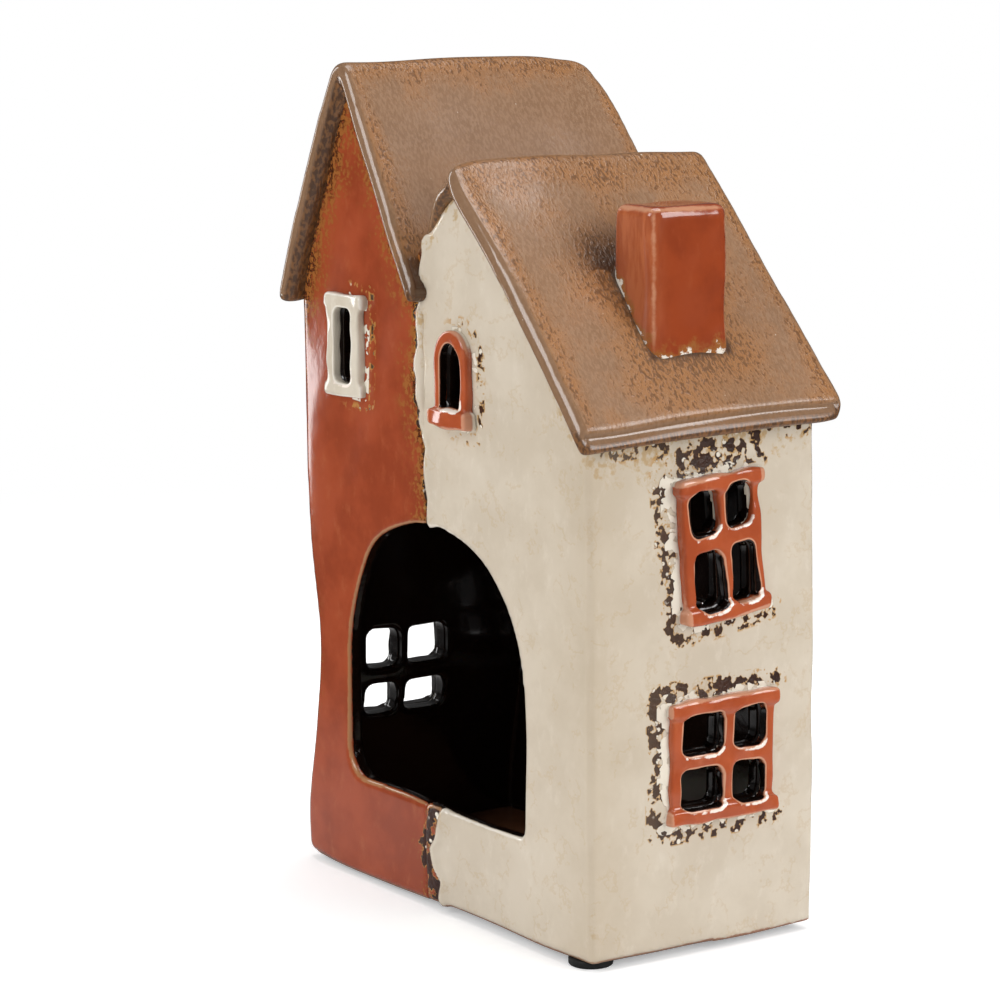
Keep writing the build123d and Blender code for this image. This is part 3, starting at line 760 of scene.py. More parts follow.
@dataclass(frozen=True)
class WallGlaze(Glaze):
    """A cottage's wall: its own glaze, the other cottage's past the seam, and the chamber inside, painted
    near black as shade.
    """

    film: tuple = (0.3, 0.05)
    other: Coat = IVORY
    own_side: int = -1
    clay: str = "#9c6f56"
    ochre: str = "#975d2c"
    scab: str = "#b98b4a"
    pool: str = "#e9e0d0"
    lips: tuple = ("#a5774f", "#e6ddcf")
    # Painted shade: the darker tone laid near the low cottage's front corner
    tan: str = "#b09c7f"

    def write(self, recipe: Recipe) -> Material:
        """Writes the wall: two glazes that meet, broken edges, crust and fringe, bare foot, the chamber and
        pane reveals painted near black as shade, and painted shade at the near front corner.

        Args:
            recipe: the empty recipe.

        Returns:
            The finished material.
        """
        add = recipe.add
        fine, coarse = recipe.blobs(2.4, 4, seed=0.21), recipe.blobs(7, 4, seed=0.43)
        grit, blob = recipe.blobs(1.3, 2, seed=0.77), recipe.blobs(2.9, 2, seed=0.29)
        red, pale = (self.coat, self.other) if self.own_side < 0 else (self.other, self.coat)
        across = add(Step.RAMP, recipe.marked("seam", (fine, 0.5)), -0.2, 0.2)
        scab = recipe.patchy("crust", (blob, 1.2), (grit, 0.4))
        crust, pool = add(Step.RAMP, scab, 0.58, 0.66), self.pools(recipe, scab, coarse)
        foot = add(Step.RAMP, recipe.marked("foot", (fine, 0.6)), 0.3, 0.8, 1.0, 0.0)
        # The chamber's inner faces and the pane reveals, painted near black as shade
        dark = add(Step.RAMP, recipe.marked("depth", (fine, 0.2)), 0.6, 1.0)
        # Painted shade near the low cottage's front corner, on the ivory glaze only
        corner_shade = add(Step.TIMES, recipe.marked("corner_shade"), across)
        colour = recipe.coated(
            self.worn_red(recipe, red, coarse, grit),
            (self.worn_pale(recipe, pale, coarse, fine), across),
            (self.scab, scab, 0.36, 0.58, 0.0, 0.8),
            (add(Step.LAY, red.crust, pale.crust, fine), crust),
            (self.pool, pool),
            (self.clay, foot),
            (add(Step.LAY, *self.lips, across), recipe.marked("lip", (fine, 0.2)), 0.45, 0.8, 0.0, 0.85),
            # Painted shade: the chamber and the pane reveals near black
            (CHAMBER_SHADE, dark),
            # Painted shade near the front corner, kept off the chamber
            (self.tan, add(Step.TIMES, corner_shade, add(Step.RAMP, dark, 0.0, 1.0, 1.0, 0.0))),
        )
        bare = add(Step.TIMES, crust, add(Step.RAMP, pool, 0.3, 0.7, 1.0, 0.0))
        pits = add(Step.TIMES, bare, recipe.grain(1.0, 3, 0.6, seed=0.7))
        relief = add(Step.MINUS, recipe.grain(8, 3, 0.5, seed=0.31), add(Step.TIMES, pits, 2.0))
        relief = add(Step.PLUS, relief, add(Step.TIMES, pool, 2.0))
        dry = add(Step.PLUS, add(Step.TIMES, foot, 0.5), self.rough)
        rough = add(Step.PLUS, add(Step.TIMES, bare, 0.2), dry)
        return recipe.finish(colour, rough, relief, 0.16, **self.gloss)

    def pools(self, recipe: Recipe, scab: Value, coarse: Value) -> NodeSocket:
        """Where white glaze gathered: the fringe against the frames, and blisters in the crust.

        Args:
            recipe: the recipe it goes into.
            scab: how far the glaze has crawled.
            coarse: the noise that picks the blisters.

        Returns:
            A share from 0 to 1.
        """
        add = recipe.add
        ledge = recipe.patchy("fringe", (recipe.blobs(3.2, 2, seed=0.51), 1.7))
        cells = add(Step.CELLS, add(Step.PLACE), 1 / (2.8 * MM))
        blisters = add(Step.RAMP, cells, 0.22, 0.28, 1.0, 0.0)
        blisters = add(Step.TIMES, blisters, add(Step.RAMP, scab, 0.5, 0.6))
        blisters = add(Step.TIMES, blisters, add(Step.RAMP, coarse, 0.4, 0.6))
        return add(Step.MOST, add(Step.RAMP, ledge, 0.5, 0.58), blisters)

    def worn_red(self, recipe: Recipe, red: Coat, coarse: Value, grit: Value) -> NodeSocket:
        """The terracotta glaze, broken to ochre grains and brown runs where it thins.

        Args:
            recipe: the recipe it goes into.
            red: the glaze's colours.
            coarse: noise that moves the runs.
            grit: noise that breaks them to grains.

        Returns:
            The colour.
        """
        runs = recipe.blobs(2.0, 4, (1, 1, 0.22), 0.33)
        grains = recipe.coated(red.crust, (self.ochre, grit, 0.3, 0.65))
        broken = recipe.patchy("stain", (runs, 0.2), (coarse, 0.3), (grit, 0.6))
        thin, worn = (red.thin, broken, 0.2, 0.6, 0.0, 0.3), (grains, broken, 0.42, 0.7, 0.0, 0.95)
        return recipe.coated(red.melt(recipe), thin, worn)

    def worn_pale(self, recipe: Recipe, pale: Coat, coarse: Value, fine: Value) -> NodeSocket:
        """The ivory glaze, stained tan at its edges and crossed by faint brown lines.

        Args:
            recipe: the recipe it goes into.
            pale: the glaze's colours.
            coarse: noise that moves the stains and gathers the lines.
            fine: noise that breaks the stains.

        Returns:
            The colour.
        """
        add = recipe.add
        blot = recipe.patchy("stain", (fine, 0.8), (coarse, 0.5))
        vein = add(Step.SIZE, add(Step.MINUS, recipe.grain(11, 5, 0.62, seed=0.93), 0.5))
        vein = add(Step.TIMES, add(Step.RAMP, vein, 0.0, 0.03, 0.22, 0.0), add(Step.RAMP, coarse, 0.45, 0.7))
        return recipe.coated(pale.melt(recipe), (pale.thin, blot, 0.68, 1.15, 0.0, 0.75), (pale.thin, vein))


@dataclass(frozen=True)
class RoofGlaze(Glaze):
    """The roof's satin glaze, streaked with rust where it thins over edges."""

    rough: float = 0.32
    ior: float = ROOF_IOR
    film: tuple = (0.25, 0.1)
    rust: str = "#a06a36"
    edge: str = "#7b604a"
    edge_rough: float = 0.12

    def write(self, recipe: Recipe) -> Material:
        """Writes the roof: clouded taupe with a fine grain, ochre and brown dashes where it thins, pinholes,
        and painted shade beside the chimney, in the valley, on the undersides and on the eaves.

        Args:
            recipe: the empty recipe.

        Returns:
            The finished material.
        """
        add = recipe.add
        grain, patch = recipe.blobs(0.8, 3, (0.6, 1.0, 0.5), 0.17), recipe.blobs(13, 4, seed=0.5)
        dash = recipe.blobs(0.75, 2, (0.6, 1.0, 0.5), 0.37)
        wear = recipe.marked("wear", (patch, 0.45), (dash, 0.2))
        rim, under = recipe.marked("rolled"), recipe.marked("under")
        # Painted shade: crust streaked with rust for the slabs' undersides and the lower half of the eaves
        below = recipe.coated(self.coat.crust, (self.rust, dash, 0.2, 0.9, 0.0, 0.5))
        colour = recipe.coated(
            self.coat.deep,
            (self.coat.body, patch),
            (self.coat.pale, grain, 0.2, 0.9, 0.0, 0.6),
            (self.rust, wear, 0.2, 0.85, 0.0, 0.7),
            (self.coat.crust, recipe.marked("wear", (patch, 0.4), (dash, 1.3)), 0.72, 1.3, 0.0, 0.58),
            # Painted shade in crust colour beside the chimney and in the valley crevice
            (self.coat.crust, recipe.marked("shade"), 0.15, 0.8, 0.0, 0.9),
            (self.edge, rim, 0.35, 0.9, 0.0, 0.55),
            # Painted shade on the undersides and the lower half of the eaves
            (below, under, 3.4, 4.6, 0.0, 0.85),
            (self.coat.thin, recipe.grain(1.6, 1, 0.4, seed=0.9), 0.80, 0.84),
        )
        furrows = add(Step.TIMES, dash, add(Step.RAMP, wear, 0.2, 0.9, 0.15, 0.9))
        relief = add(Step.PLUS, furrows, recipe.grain(9, 2, 0.5, seed=0.2))
        relief = add(Step.TIMES, relief, add(Step.RAMP, rim, 0.1, 0.6, 1.0, 0.15))
        glossy = add(Step.TIMES, rim, add(Step.RAMP, under, 3.3, 4.2, 1.0, 0.0))
        rough = add(Step.RAMP, glossy, 0.2, 0.8, self.rough, self.edge_rough)
        return recipe.finish(colour, rough, relief, 0.14, **self.gloss)


@dataclass(frozen=True)
class FrameGlaze(Glaze):
    """A window frame's glaze on its face, with the wall's glaze drawn up its sides."""

    film: tuple = (0.4, 0.05)
    side: str = "#ded5c5"
    # Painted highlight: the white laid along the panes' lower edges
    pool: str = "#f3e6da"
    line: str = "#cf9a7b"
    # The pane reveals: near black painted shade, unless a frame sets its own colour
    inner: str = CHAMBER_SHADE

    def write(self, recipe: Recipe) -> Material:
        """Writes the frame: face glaze, pale lines at the panes, reveals in the inner colour, wall glaze at
        the sides, and white highlights painted on the sills.

        Args:
            recipe: the empty recipe.

        Returns:
            The finished material.
        """
        add = recipe.add
        fine = recipe.grain(2.4, 4, 0.65, seed=0.61)
        pane, proud = recipe.marked("pane"), recipe.marked("proud")
        face, rim = add(Step.RAMP, proud, 1.2, 2.0), recipe.marked("rim", (fine, 0.9))
        line = add(Step.RAMP, add(Step.SIZE, add(Step.MINUS, pane, 0.3)), 0.05, 0.35, 0.85, 0.0)
        low = add(Step.RAMP, proud, 0.9, 1.9, 1.0, 0.0)
        # Painted highlight along the panes' lower edges
        sill_glint = add(Step.RAMP, recipe.marked("sill_glint", (fine, 1.2)), 0.55, 0.75)
        colour = recipe.coated(
            self.coat.melt(recipe),
            (self.line, add(Step.TIMES, line, face)),
            # Pane reveals in the inner colour: painted shade where it is near black
            (self.inner, recipe.swayed(pane, (fine, 0.3)), 0.0, 0.2, 1.0, 0.0),
            (self.side, add(Step.TIMES, add(Step.RAMP, rim, 0.1, 0.6, 1.0, 0.0), low)),
            (self.line, add(Step.TIMES, add(Step.RAMP, rim, 0.3, 0.75, 0.7, 0.0), face)),
            # White painted highlight on the sills
            (self.pool, add(Step.TIMES, sill_glint, face)),
        )
        waves = recipe.grain(5, 3, 0.5, seed=0.37)
        return recipe.finish(colour, self.rough, waves, 0.12, **self.gloss)


@dataclass(frozen=True)
class StackGlaze(Glaze):
    """The chimney's glaze, worn pale on its edges and pooled white at its foot."""

    film: tuple = (0.4, 0.05)
    pool: str = "#e6ddd0"
    worn: str = "#d3a07e"
    weathered: str = "#b0603a"

    def write(self, recipe: Recipe) -> Material:
        """Writes the chimney: open glaze, a streaked front, pale arrises, white blobs along the foot.

        Args:
            recipe: the empty recipe.

        Returns:
            The finished material.
        """
        add = recipe.add
        wander = recipe.grain(4, 4, 0.65, seed=0.15)
        streaks = recipe.blobs(2.2, 4, (1, 1, 0.2), 0.66)
        pale = add(Step.TIMES, recipe.marked("weather"), add(Step.RAMP, streaks, 0.1, 0.9, 0.45, 1.0))
        foot = recipe.marked("foot", (wander, 9.0))
        colour = recipe.coated(
            self.coat.melt(recipe),
            (self.weathered, pale),
            (self.worn, recipe.marked("arris", (wander, 1.6)), 0.5, 1.3, 0.6, 0.0),
            (self.coat.thin, foot, 0.8, 2.4, 0.8, 0.0),
            (self.pool, foot, 0.2, 0.6, 1.0, 0.0),
        )
        waves = recipe.grain(8, 3, 0.5, seed=0.28)
        return recipe.finish(colour, self.rough, waves, 0.14, **self.gloss)


# Poured gloss glazes: wet highlights over softly clouded colour, broken to ochre or tan where they ran thin
TALL_WALL = WallGlaze("gloss_terracotta_wall_glaze", TERRACOTTA, other=IVORY, own_side=-1)
LOW_WALL = WallGlaze("gloss_ivory_wall_glaze", IVORY, other=TERRACOTTA, own_side=1)
# A sprayed satin glaze: a blurred sheen and a fine grain, clear highlights only on the rolled edges
ROOFING = RoofGlaze("satin_taupe_roof_glaze", TAUPE)
# Brushed gloss glazes on small raised frames: sharp highlights on the faces, pale lines where they thin
RED_FRAME = FrameGlaze("gloss_terracotta_frame_glaze", FRAME_RED)
CREAM_FRAME = FrameGlaze("gloss_cream_frame_glaze", CREAM, side="#7c4327", line="#e9e2d6")
SLIT_FRAME = FrameGlaze("gloss_cream_slit_glaze", CREAM, side="#c8bca9", line="#e9e2d6", inner="#d3c9b8")
# A dipped gloss glaze: deep red faces, worn arrises and white beads at the foot
STACK = StackGlaze("gloss_terracotta_chimney_glaze", STACK_RED)
# A poured gloss brown: a dark wet floor that mirrors the arch
CHAMBER = Glaze("gloss_brown_chamber_glaze", UMBER)

FRAMES = {
    FrameKind.RED: (RED_FRAME, "terracotta_glaze"),
    FrameKind.CREAM: (CREAM_FRAME, "ivory_glaze"),
    FrameKind.SLIT: (SLIT_FRAME, "ivory_glaze"),
}


def pulled(items: bpy.types.bpy_prop_collection, name: str, width: int, kind: type = float) -> np.ndarray:
    """Reads one property of all of a mesh's vertices or edges.

    Args:
        items: the vertices or edges.
        name: the property.
        width: how many numbers each item has.
        kind: the type of the numbers.

    Returns:
        One row for each item.
    """
    values = np.empty(len(items) * width, dtype=kind)
    items.foreach_get(name, values)
    return values.reshape(-1, width)


@dataclass
class ClayPiece:
    """One glazed piece: the solids that it is shaped from and how soft the clay and glaze left it."""

    name: str
    nodes: tuple
    slot: str
    finish: Glaze
    voxel_mm: float = 0.7
    soften: int = 5
    ripple_mm: float = 0.35
    ripple_size: float = 34.0
    seed: int = 1
    swell_mm: float = 0.45
    settle: int = 0

    def build(self, frame: dict) -> Object:
        """Makes the piece, marks what its glaze reads and glazes it.


        Returns:
            The finished object.
        """
        obj = self.skin(frame)
        mesh = obj.data
        at = pulled(mesh.vertices, "co", 3) / MM
        marks = self.gaps(at)
        for key, values in marks.items():
            layer = mesh.attributes.new(key, "FLOAT", "POINT")
            layer.data.foreach_set("value", np.asarray(values, dtype=np.float32))
        raised = pulled(mesh.vertices, "normal", 3) * self.relief(at, marks)[:, None]
        edges = pulled(mesh.edges, "vertices", 2, np.int32)
        at = settled(self.shaped(at) + hand_bent(at) + raised, edges, self.settle)
        mesh.vertices.foreach_set("co", (at * MM).ravel())
        mesh.update()
        self.dress(obj)
        log.info("%s: %d faces", self.name, len(mesh.polygons))
        return obj

    def dress(self, obj: Object) -> None:
        """Glazes the piece, hangs it from the house's body and hides the solids that it stands for."""
        obj.data.polygons.foreach_set("use_smooth", np.ones(len(obj.data.polygons), dtype=bool))
        obj.data.materials.append(self.finish.material())
        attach(obj, "house")
        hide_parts(*self.nodes)

    def swollen(self, source: Object) -> Mesh:
        """A copy of a solid, swollen by what the softening takes off again.

        Args:
            source: the solid's object.

        Returns:
            The copy, in the frame's place.
        """
        part = bmesh.new()
        part.from_mesh(source.data)
        part.transform(source.matrix_world)
        bmesh.ops.remove_doubles(part, verts=part.verts, dist=TINY)
        bmesh.ops.recalc_face_normals(part, faces=part.faces)
        part.normal_update()
        for vert in part.verts:
            vert.co += vert.normal * self.swell_mm * MM
        mesh = bpy.data.meshes.new("part")
        part.to_mesh(mesh)
        part.free()
        return mesh

    def skin(self, frame: dict) -> Object:
        """Merges copies of the solids into one even, softened skin.


        Returns:
            The skin's object.
        """
        shape = bmesh.new()
        for node in self.nodes:
            part = self.swollen(frame["nodes"][node])
            shape.from_mesh(part)
            bpy.data.meshes.remove(part)
        mesh = bpy.data.meshes.new(self.name)
        shape.to_mesh(mesh)
        shape.free()
        obj = bpy.data.objects.new(self.name, mesh)
        bpy.context.scene.collection.objects.link(obj)
        even = obj.modifiers.new("even", "REMESH")
        even.mode, even.voxel_size = "VOXEL", self.voxel_mm * MM
        soft = obj.modifiers.new("soft", "SMOOTH")
        soft.factor, soft.iterations = 0.5, self.soften
        made = bpy.data.meshes.new_from_object(obj.evaluated_get(bpy.context.evaluated_depsgraph_get()))
        obj.modifiers.clear()
        made.name = self.name
        obj.data = made
        bpy.data.meshes.remove(mesh)
        return obj

    def gaps(self, at: np.ndarray) -> dict:
        """The values that the glaze reads at each point, by name."""
        return {}

    def shaped(self, at: np.ndarray) -> np.ndarray:
        """The points after the piece's own rounding."""
        return at

    def relief(self, at: np.ndarray, marks: dict) -> np.ndarray:
        """How far the surface stands out from its even skin."""
        return self.ripple_mm * ripple(at, self.ripple_size, self.seed)


@dataclass
class CottageWalls(ClayPiece):
    """The walls of one cottage: two gables and a side wall, glazed as one."""

    voxel_mm: float = 0.8
    slopes: tuple = TALL_SLOPES
    gable_skin: float = 2.0
    front_skin: float = 3.0
    base_height: float = 34.0
    pane_depth: float = 8.0
    seam_from: float = 28.0
    arris_rolls: tuple = (1.8, 0.7)
    corner_roll: float = 1.6
    corner_reach: float = 9.0
    edge_push: tuple = (-1.6, 0.8, 0.0)

    def gaps(self, at: np.ndarray) -> dict:
        """How deep points lie behind the outer face, how ready the glaze is to break there, and where shade
        is painted: inside, in the pane reveals, under the low side eave and at the near front corner.

        Args:
            at: points, one row each.

        Returns:
            The marks by name.
        """
        x, y, z = at.T
        near = np.sort(wall_gaps(at), axis=0)
        gable = (np.minimum(y - FRONT_Y, REAR_Y - y) < self.gable_skin).astype(float)
        front = (y - FRONT_Y < self.front_skin).astype(float)
        seam = x - seam_x(z)
        eave = np.min([slope.below(at) - slope.thickness for slope in self.slopes], axis=0)
        stain = 0.95 * np.exp(-((np.maximum(eave, 0) / 8.0) ** 1.5))
        stain = np.maximum(stain, 0.45 * fade(near[1], 2.6))
        stain = np.maximum(stain, gable * 0.95 * fade(np.abs(seam), np.where(seam < 0, 5.0, 2.0)))
        band = np.clip(1.1 - np.abs(seam + 3.2) / 3.4, 0, 1) * np.clip((self.base_height - z) / 6.0, 0, 1)
        crust = gable * np.maximum(0.95 * bell(seam, 0.9, -0.5), 1.1 * band)
        # A thin dark ragged line just under the low side eave, in crust colour: painted shade of the overhang
        crust = np.maximum(crust, 0.7 * fade(eave, 1.6, 2.2) * (1 - front) * (x > 0))
        fringe, light = np.zeros(len(at)), np.zeros(len(at))
        for window in WINDOWS:
            white, brown = window.crawled(at)
            fringe, crust = np.maximum(fringe, white), np.maximum(crust, brown)
            u, v, proud = window.local(at)
            # Inside the pane outlines the wall's reveals count as deep as the chamber, so they are painted
            # near black as shade
            light = np.maximum(light, (window.to_pane(u, v) < 0.4) & (np.abs(proud) < self.pane_depth))
        lip = front * bell(arch_gap(at), 0.8) * bell(near[0], 0.9)
        # Painted shade near the low cottage's front corner
        corner_shade = 0.4 * fade(np.hypot(x - LOW_CORNER_X, y - FRONT_Y), 14.0)
        marks = {"depth": np.maximum(near[0], 3.0 * light), "stain": stain, "crust": crust, "fringe": fringe}
        return marks | {"seam": seam, "lip": lip, "foot": z - GROUND, "corner_shade": corner_shade}

    def shaped(self, at: np.ndarray) -> np.ndarray:
        """Rounds the arrises, most of all at the tall cottage's front foot, and draws its front edge out.

        Args:
            at: points, one row each.

        Returns:
            The moved points.
        """
        corner = ((at - np.array((TALL_CORNER_X - 2, FRONT_Y, GROUND))) ** 2).sum(axis=1)
        bulge = self.corner_roll * np.exp(-corner / (2 * self.corner_reach**2))
        radius = np.where(at[:, 1] < 0, *self.arris_rolls) + bulge
        gaps = wall_gaps(at)
        moved = rolled(at, [*zip(gaps, INWARD), (at[:, 2] - GROUND, (0, 0, 1))], radius)
        edge = fade(gaps[2], 5.0) * bell(np.maximum(gaps[0], 0), 9.0)
        return moved + edge[:, None] * np.array(self.edge_push)

    def relief(self, at: np.ndarray, marks: dict) -> np.ndarray:
        """Ripples, with the ivory glaze's thick edge and the pools against the frames standing out.

        Args:
            at: points, one row each.
            marks: the points' marks by name.

        Returns:
            One height for each point.
        """
        outside = bell(np.sort(wall_gaps(at), axis=0)[0], 1.0)
        gable = np.abs(at[:, 1]) > self.seam_from
        edge = 1.1 * bell(marks["seam"], 1.5, 1.7) * gable
        groove = -0.5 * bell(marks["seam"], 0.6, -0.6) * gable
        return super().relief(at, marks) + outside * (edge + groove + 0.55 * marks["fringe"])


@dataclass
class Roof(ClayPiece):
    """Two roof slabs under one glaze, with the chimney's plan or the valley's place where there is one."""

    soften: int = 11
    settle: int = 7
    slopes: tuple = TALL_SLOPES
    stack: Optional[tuple] = None
    crevice: Optional[tuple] = None
    crevice_reach: tuple = (6.0, 10.0, 12.0)
    front_corner_roll: float = 2.5
    rear_corner_roll: float = 5.0
    eave_roll: float = 3.2
    upper_roll: float = 2.3
    lower_roll: float = 2.0
    ridge_fillet: float = 2.6

    def gaps(self, at: np.ndarray) -> dict:
        """Wear near the edges, painted shade beside the chimney and in the valley crevice, and depth under
        the surface, deepened at the eaves so that they are painted dark as shade.

        Args:
            at: points, one row each.

        Returns:
            The marks by name.
        """
        under, _, side = roof_depth(at, self.slopes)
        down = np.where(side == 0, *[slope.down(at) for slope in self.slopes])
        to_eave = np.array([slope.length for slope in self.slopes])[side] - down
        pairs = zip(*[slope.rakes(at) for slope in self.slopes])
        rake = np.min([np.where(side == 0, *pair) for pair in pairs], axis=0)
        edge = fade(np.minimum(rake, to_eave), 1.2, 0.6)
        wear = 0.85 * fade(rake, 4.0, 3.5)
        wear = np.maximum(wear, 0.5 * fade(to_eave, 6.0, 3.0))
        wear = np.maximum(wear, 0.8 * fade(down, 8.0, 10.0)) * (1 - edge)
        shade = np.zeros(len(at))
        if self.stack:
            x, y, wide, deep = self.stack
            past = np.abs(at[:, 0] - x) - wide / 2, np.abs(at[:, 1] - y) - deep / 2
            away = np.hypot(*np.maximum(past, 0))
            wear = np.maximum(wear, 1.2 * fade(away, 13.0))
            # Painted shadow of the chimney: wide on its up-slope side, a thin dark line round its foot
            # elsewhere
            shade = fade(away, np.where(at[:, 0] < x - wide / 2, 7.5, 1.0))
        if self.crevice:
            away = np.sqrt((((at - np.array(self.crevice)) / np.array(self.crevice_reach)) ** 2).sum(axis=1))
            wear = np.maximum(wear, 1.2 * fade(away, 1.6))
            # Painted shade deep in the valley crevice
            shade = np.maximum(shade, 1.1 * bell(away, 1.0))
        # The eave's face counts as deep as the slab's underside, so its lower half is painted dark as shade
        under = np.maximum(under, 0) + 3.0 * fade(to_eave, 2.5, 5.0)
        return {"wear": wear, "under": under, "shade": shade, "down": down, "rolled": edge, "rake": rake}

    def shaped(self, at: np.ndarray) -> np.ndarray:
        """Rolls the slabs' cut edges over, the upper ones most.

        Args:
            at: points, one row each.

        Returns:
            The moved points.
        """
        depth, into, side = roof_depth(at, self.slopes)
        moved = at.copy()
        for number, slope in enumerate(self.slopes):
            own = side == number
            part, (front, rear) = at[own], slope.rakes(at[own])
            eave = slope.length - slope.down(part), slope.inward()[1]
            edges = [(front, (0, 1, 0)), (rear, (0, -1, 0)), eave]
            upper, lower = (depth[own], into[own]), (slope.thickness - depth[own], -into[own])
            part = rolled(part, [edges[0], eave], self.front_corner_roll)
            part = rolled(part, [edges[1], eave], self.rear_corner_roll)
            part = rolled(part, [upper, eave], self.eave_roll)
            part = rolled(part, [upper, *edges], self.upper_roll)
            moved[own] = rolled(part, [lower, *edges], self.lower_roll)
        return moved

    def relief(self, at: np.ndarray, marks: dict) -> np.ndarray:
        """Ripples, and a fillet of clay under the ridge."""
        inner = np.clip((marks["under"] - 2.4) / 1.6, 0, 1) * np.clip((marks["rake"] - 1.0) / 4.0, 0, 1)
        return super().relief(at, marks) + self.ridge_fillet * inner * bell(marks["down"], 7.0)


@dataclass
class Chimney(ClayPiece):
    """The solid block of the chimney."""

    voxel_mm: float = 0.45
    soften: int = 8
    ripple_mm: float = 0.3
    ripple_size: float = 18.0
    centre: tuple = (48.2, -2.1)
    size: tuple = (17.0, 23.4)
    top: float = 180.9
    base: float = 150.0
    foot_reach: float = 2.6

    def gaps(self, at: np.ndarray) -> dict:
        """Distance to the nearest arris, height over the roof and nearness to the front.

        Args:
            at: points, one row each.

        Returns:
            The marks by name.
        """
        x = self.size[0] / 2 - np.abs(at[:, 0] - self.centre[0])
        y = self.size[1] / 2 - np.abs(at[:, 1] - self.centre[1])
        faces = np.sort(np.stack((x, y, self.top - at[:, 2])), axis=0)
        front = fade(at[:, 1] - self.centre[1] + self.size[1] / 2, 1.5)
        return {"arris": np.maximum(faces[1], 0), "foot": -LOW_SLOPES[1].below(at), "weather": front}

    def shaped(self, at: np.ndarray) -> np.ndarray:
        """Draws the top in, and spreads the foot over the slope that it was luted to.

        Args:
            at: points, one row each.

        Returns:
            The moved points.
        """
        slope = LOW_SLOPES[1]
        foot = fade(-slope.below(at), self.foot_reach)
        across, along = (at[:, 0] - self.centre[0]) / self.size[0], (at[:, 1] - self.centre[1]) / self.size[1]
        rise = np.clip((at[:, 2] - self.base) / (self.top - self.base), 0, 1)
        out, drop = across * (1.2 * foot - 1.6 * rise), (slope.ridge[1] - slope.eave[1]) / slope.run
        return at + np.stack((out, along * (0.4 * foot - 0.6 * rise), -out * drop * foot), axis=1)


@dataclass
class WindowFrame(ClayPiece):
    """A raised frame pressed on to a wall."""

    voxel_mm: float = 0.4
    soften: int = 8
    ripple_mm: float = 0.3
    ripple_size: float = 9.0
    swell_mm: float = 0.1
    window: Window = WINDOWS[0]

    def gaps(self, at: np.ndarray) -> dict:
        """Height over the wall, distance from the frame's outline and panes, and where a highlight is painted
        on the sills.

        Args:
            at: points, one row each.

        Returns:
            The marks by name.
        """
        u, v, proud = self.window.local(at)
        rim, pane = -self.window.outline.outside(u, v), self.window.to_pane(u, v)
        # Where a white highlight is painted along the panes' lower edges
        sill_glint = np.max([hole.pooled(u, v) for hole in self.window.panes], axis=0)
        return {"proud": proud, "rim": rim, "pane": pane, "sill_glint": sill_glint}


@dataclass
class ChamberFloor(ClayPiece):
    """The floor under both cottages."""

    voxel_mm: float = 0.9
    soften: int = 3
    ripple_mm: float = 0.1
    swell_mm: float = 0.0


@dataclass
class House:
    """All the glazed clay of the two cottages."""

    valley: tuple = (-5.0, -42.0, 160.0)
    first_frame_seed: int = 20

    def build(self, frame: dict) -> list:
        """Builds every clay piece.


        Returns:
            The pieces' objects.
        """
        pieces: list = []
        for side, slot, glaze, slopes, seed in (
            ("tall", "terracotta_glaze", TALL_WALL, TALL_SLOPES, 3),
            ("low", "ivory_glaze", LOW_WALL, LOW_SLOPES, 5),
        ):
            nodes = tuple(f"{side}_{part}" for part in ("front_gable", "rear_gable", "side_wall"))
            pieces.append(CottageWalls(f"{side}_cottage_walls", nodes, slot, glaze, seed=seed, slopes=slopes))
        for side, slopes, seed, feature in (
            ("tall", TALL_SLOPES, 7, {"crevice": self.valley}),
            ("low", LOW_SLOPES, 9, {"stack": (*Chimney.centre, *Chimney.size)}),
        ):
            name, nodes = f"{side}_cottage_roof", (f"{side}_left_roof_slab", f"{side}_right_roof_slab")
            pieces.append(Roof(name, nodes, "roof_glaze", ROOFING, seed=seed, slopes=slopes, **feature))
        pieces += [
            Chimney("chimney_block", ("chimney",), "terracotta_glaze", STACK, seed=11),
            ChamberFloor("chamber_floor", ("floor_slab",), "floor_glaze", CHAMBER, seed=13),
        ]
        for seed, window in enumerate(WINDOWS, self.first_frame_seed):
            glaze, slot = FRAMES[window.kind]
            name, nodes = window.node + "_frame", (window.node,)
            pieces.append(WindowFrame(name, nodes, slot, glaze, seed=seed, window=window))
        return [piece.build(frame) for piece in pieces]


@dataclass(frozen=True)
class Plain:
    """A finish without glaze: one material with a fine grain and relief."""

    name: str
    body: str
    deep: str
    grain_mm: float
    rough: float
    relief_mm: float
    metal: float = 0.0
    wax: float = 0.0
    wax_depth: float = 4.0

    def material(self) -> Material:
        """Writes the finish, or returns the one already written.

        Returns:
            The material.
        """
        found = bpy.data.materials.get(self.name)
        if found:
            return found
        recipe = Recipe(bpy.data.materials.new(self.name))
        grain = recipe.grain(self.grain_mm, 4, 0.6, seed=0.4)
        colour = recipe.coated(self.deep, (self.body, grain, 0.3, 0.65))
        surface = {"Metallic": self.metal, "Subsurface_Weight": self.wax}
        if not self.metal:
            surface["IOR"] = PLAIN_IOR
        if self.wax:
            surface["Subsurface_Scale"] = self.wax_depth * MM
        return recipe.finish(colour, self.rough, grain, self.relief_mm, **surface)


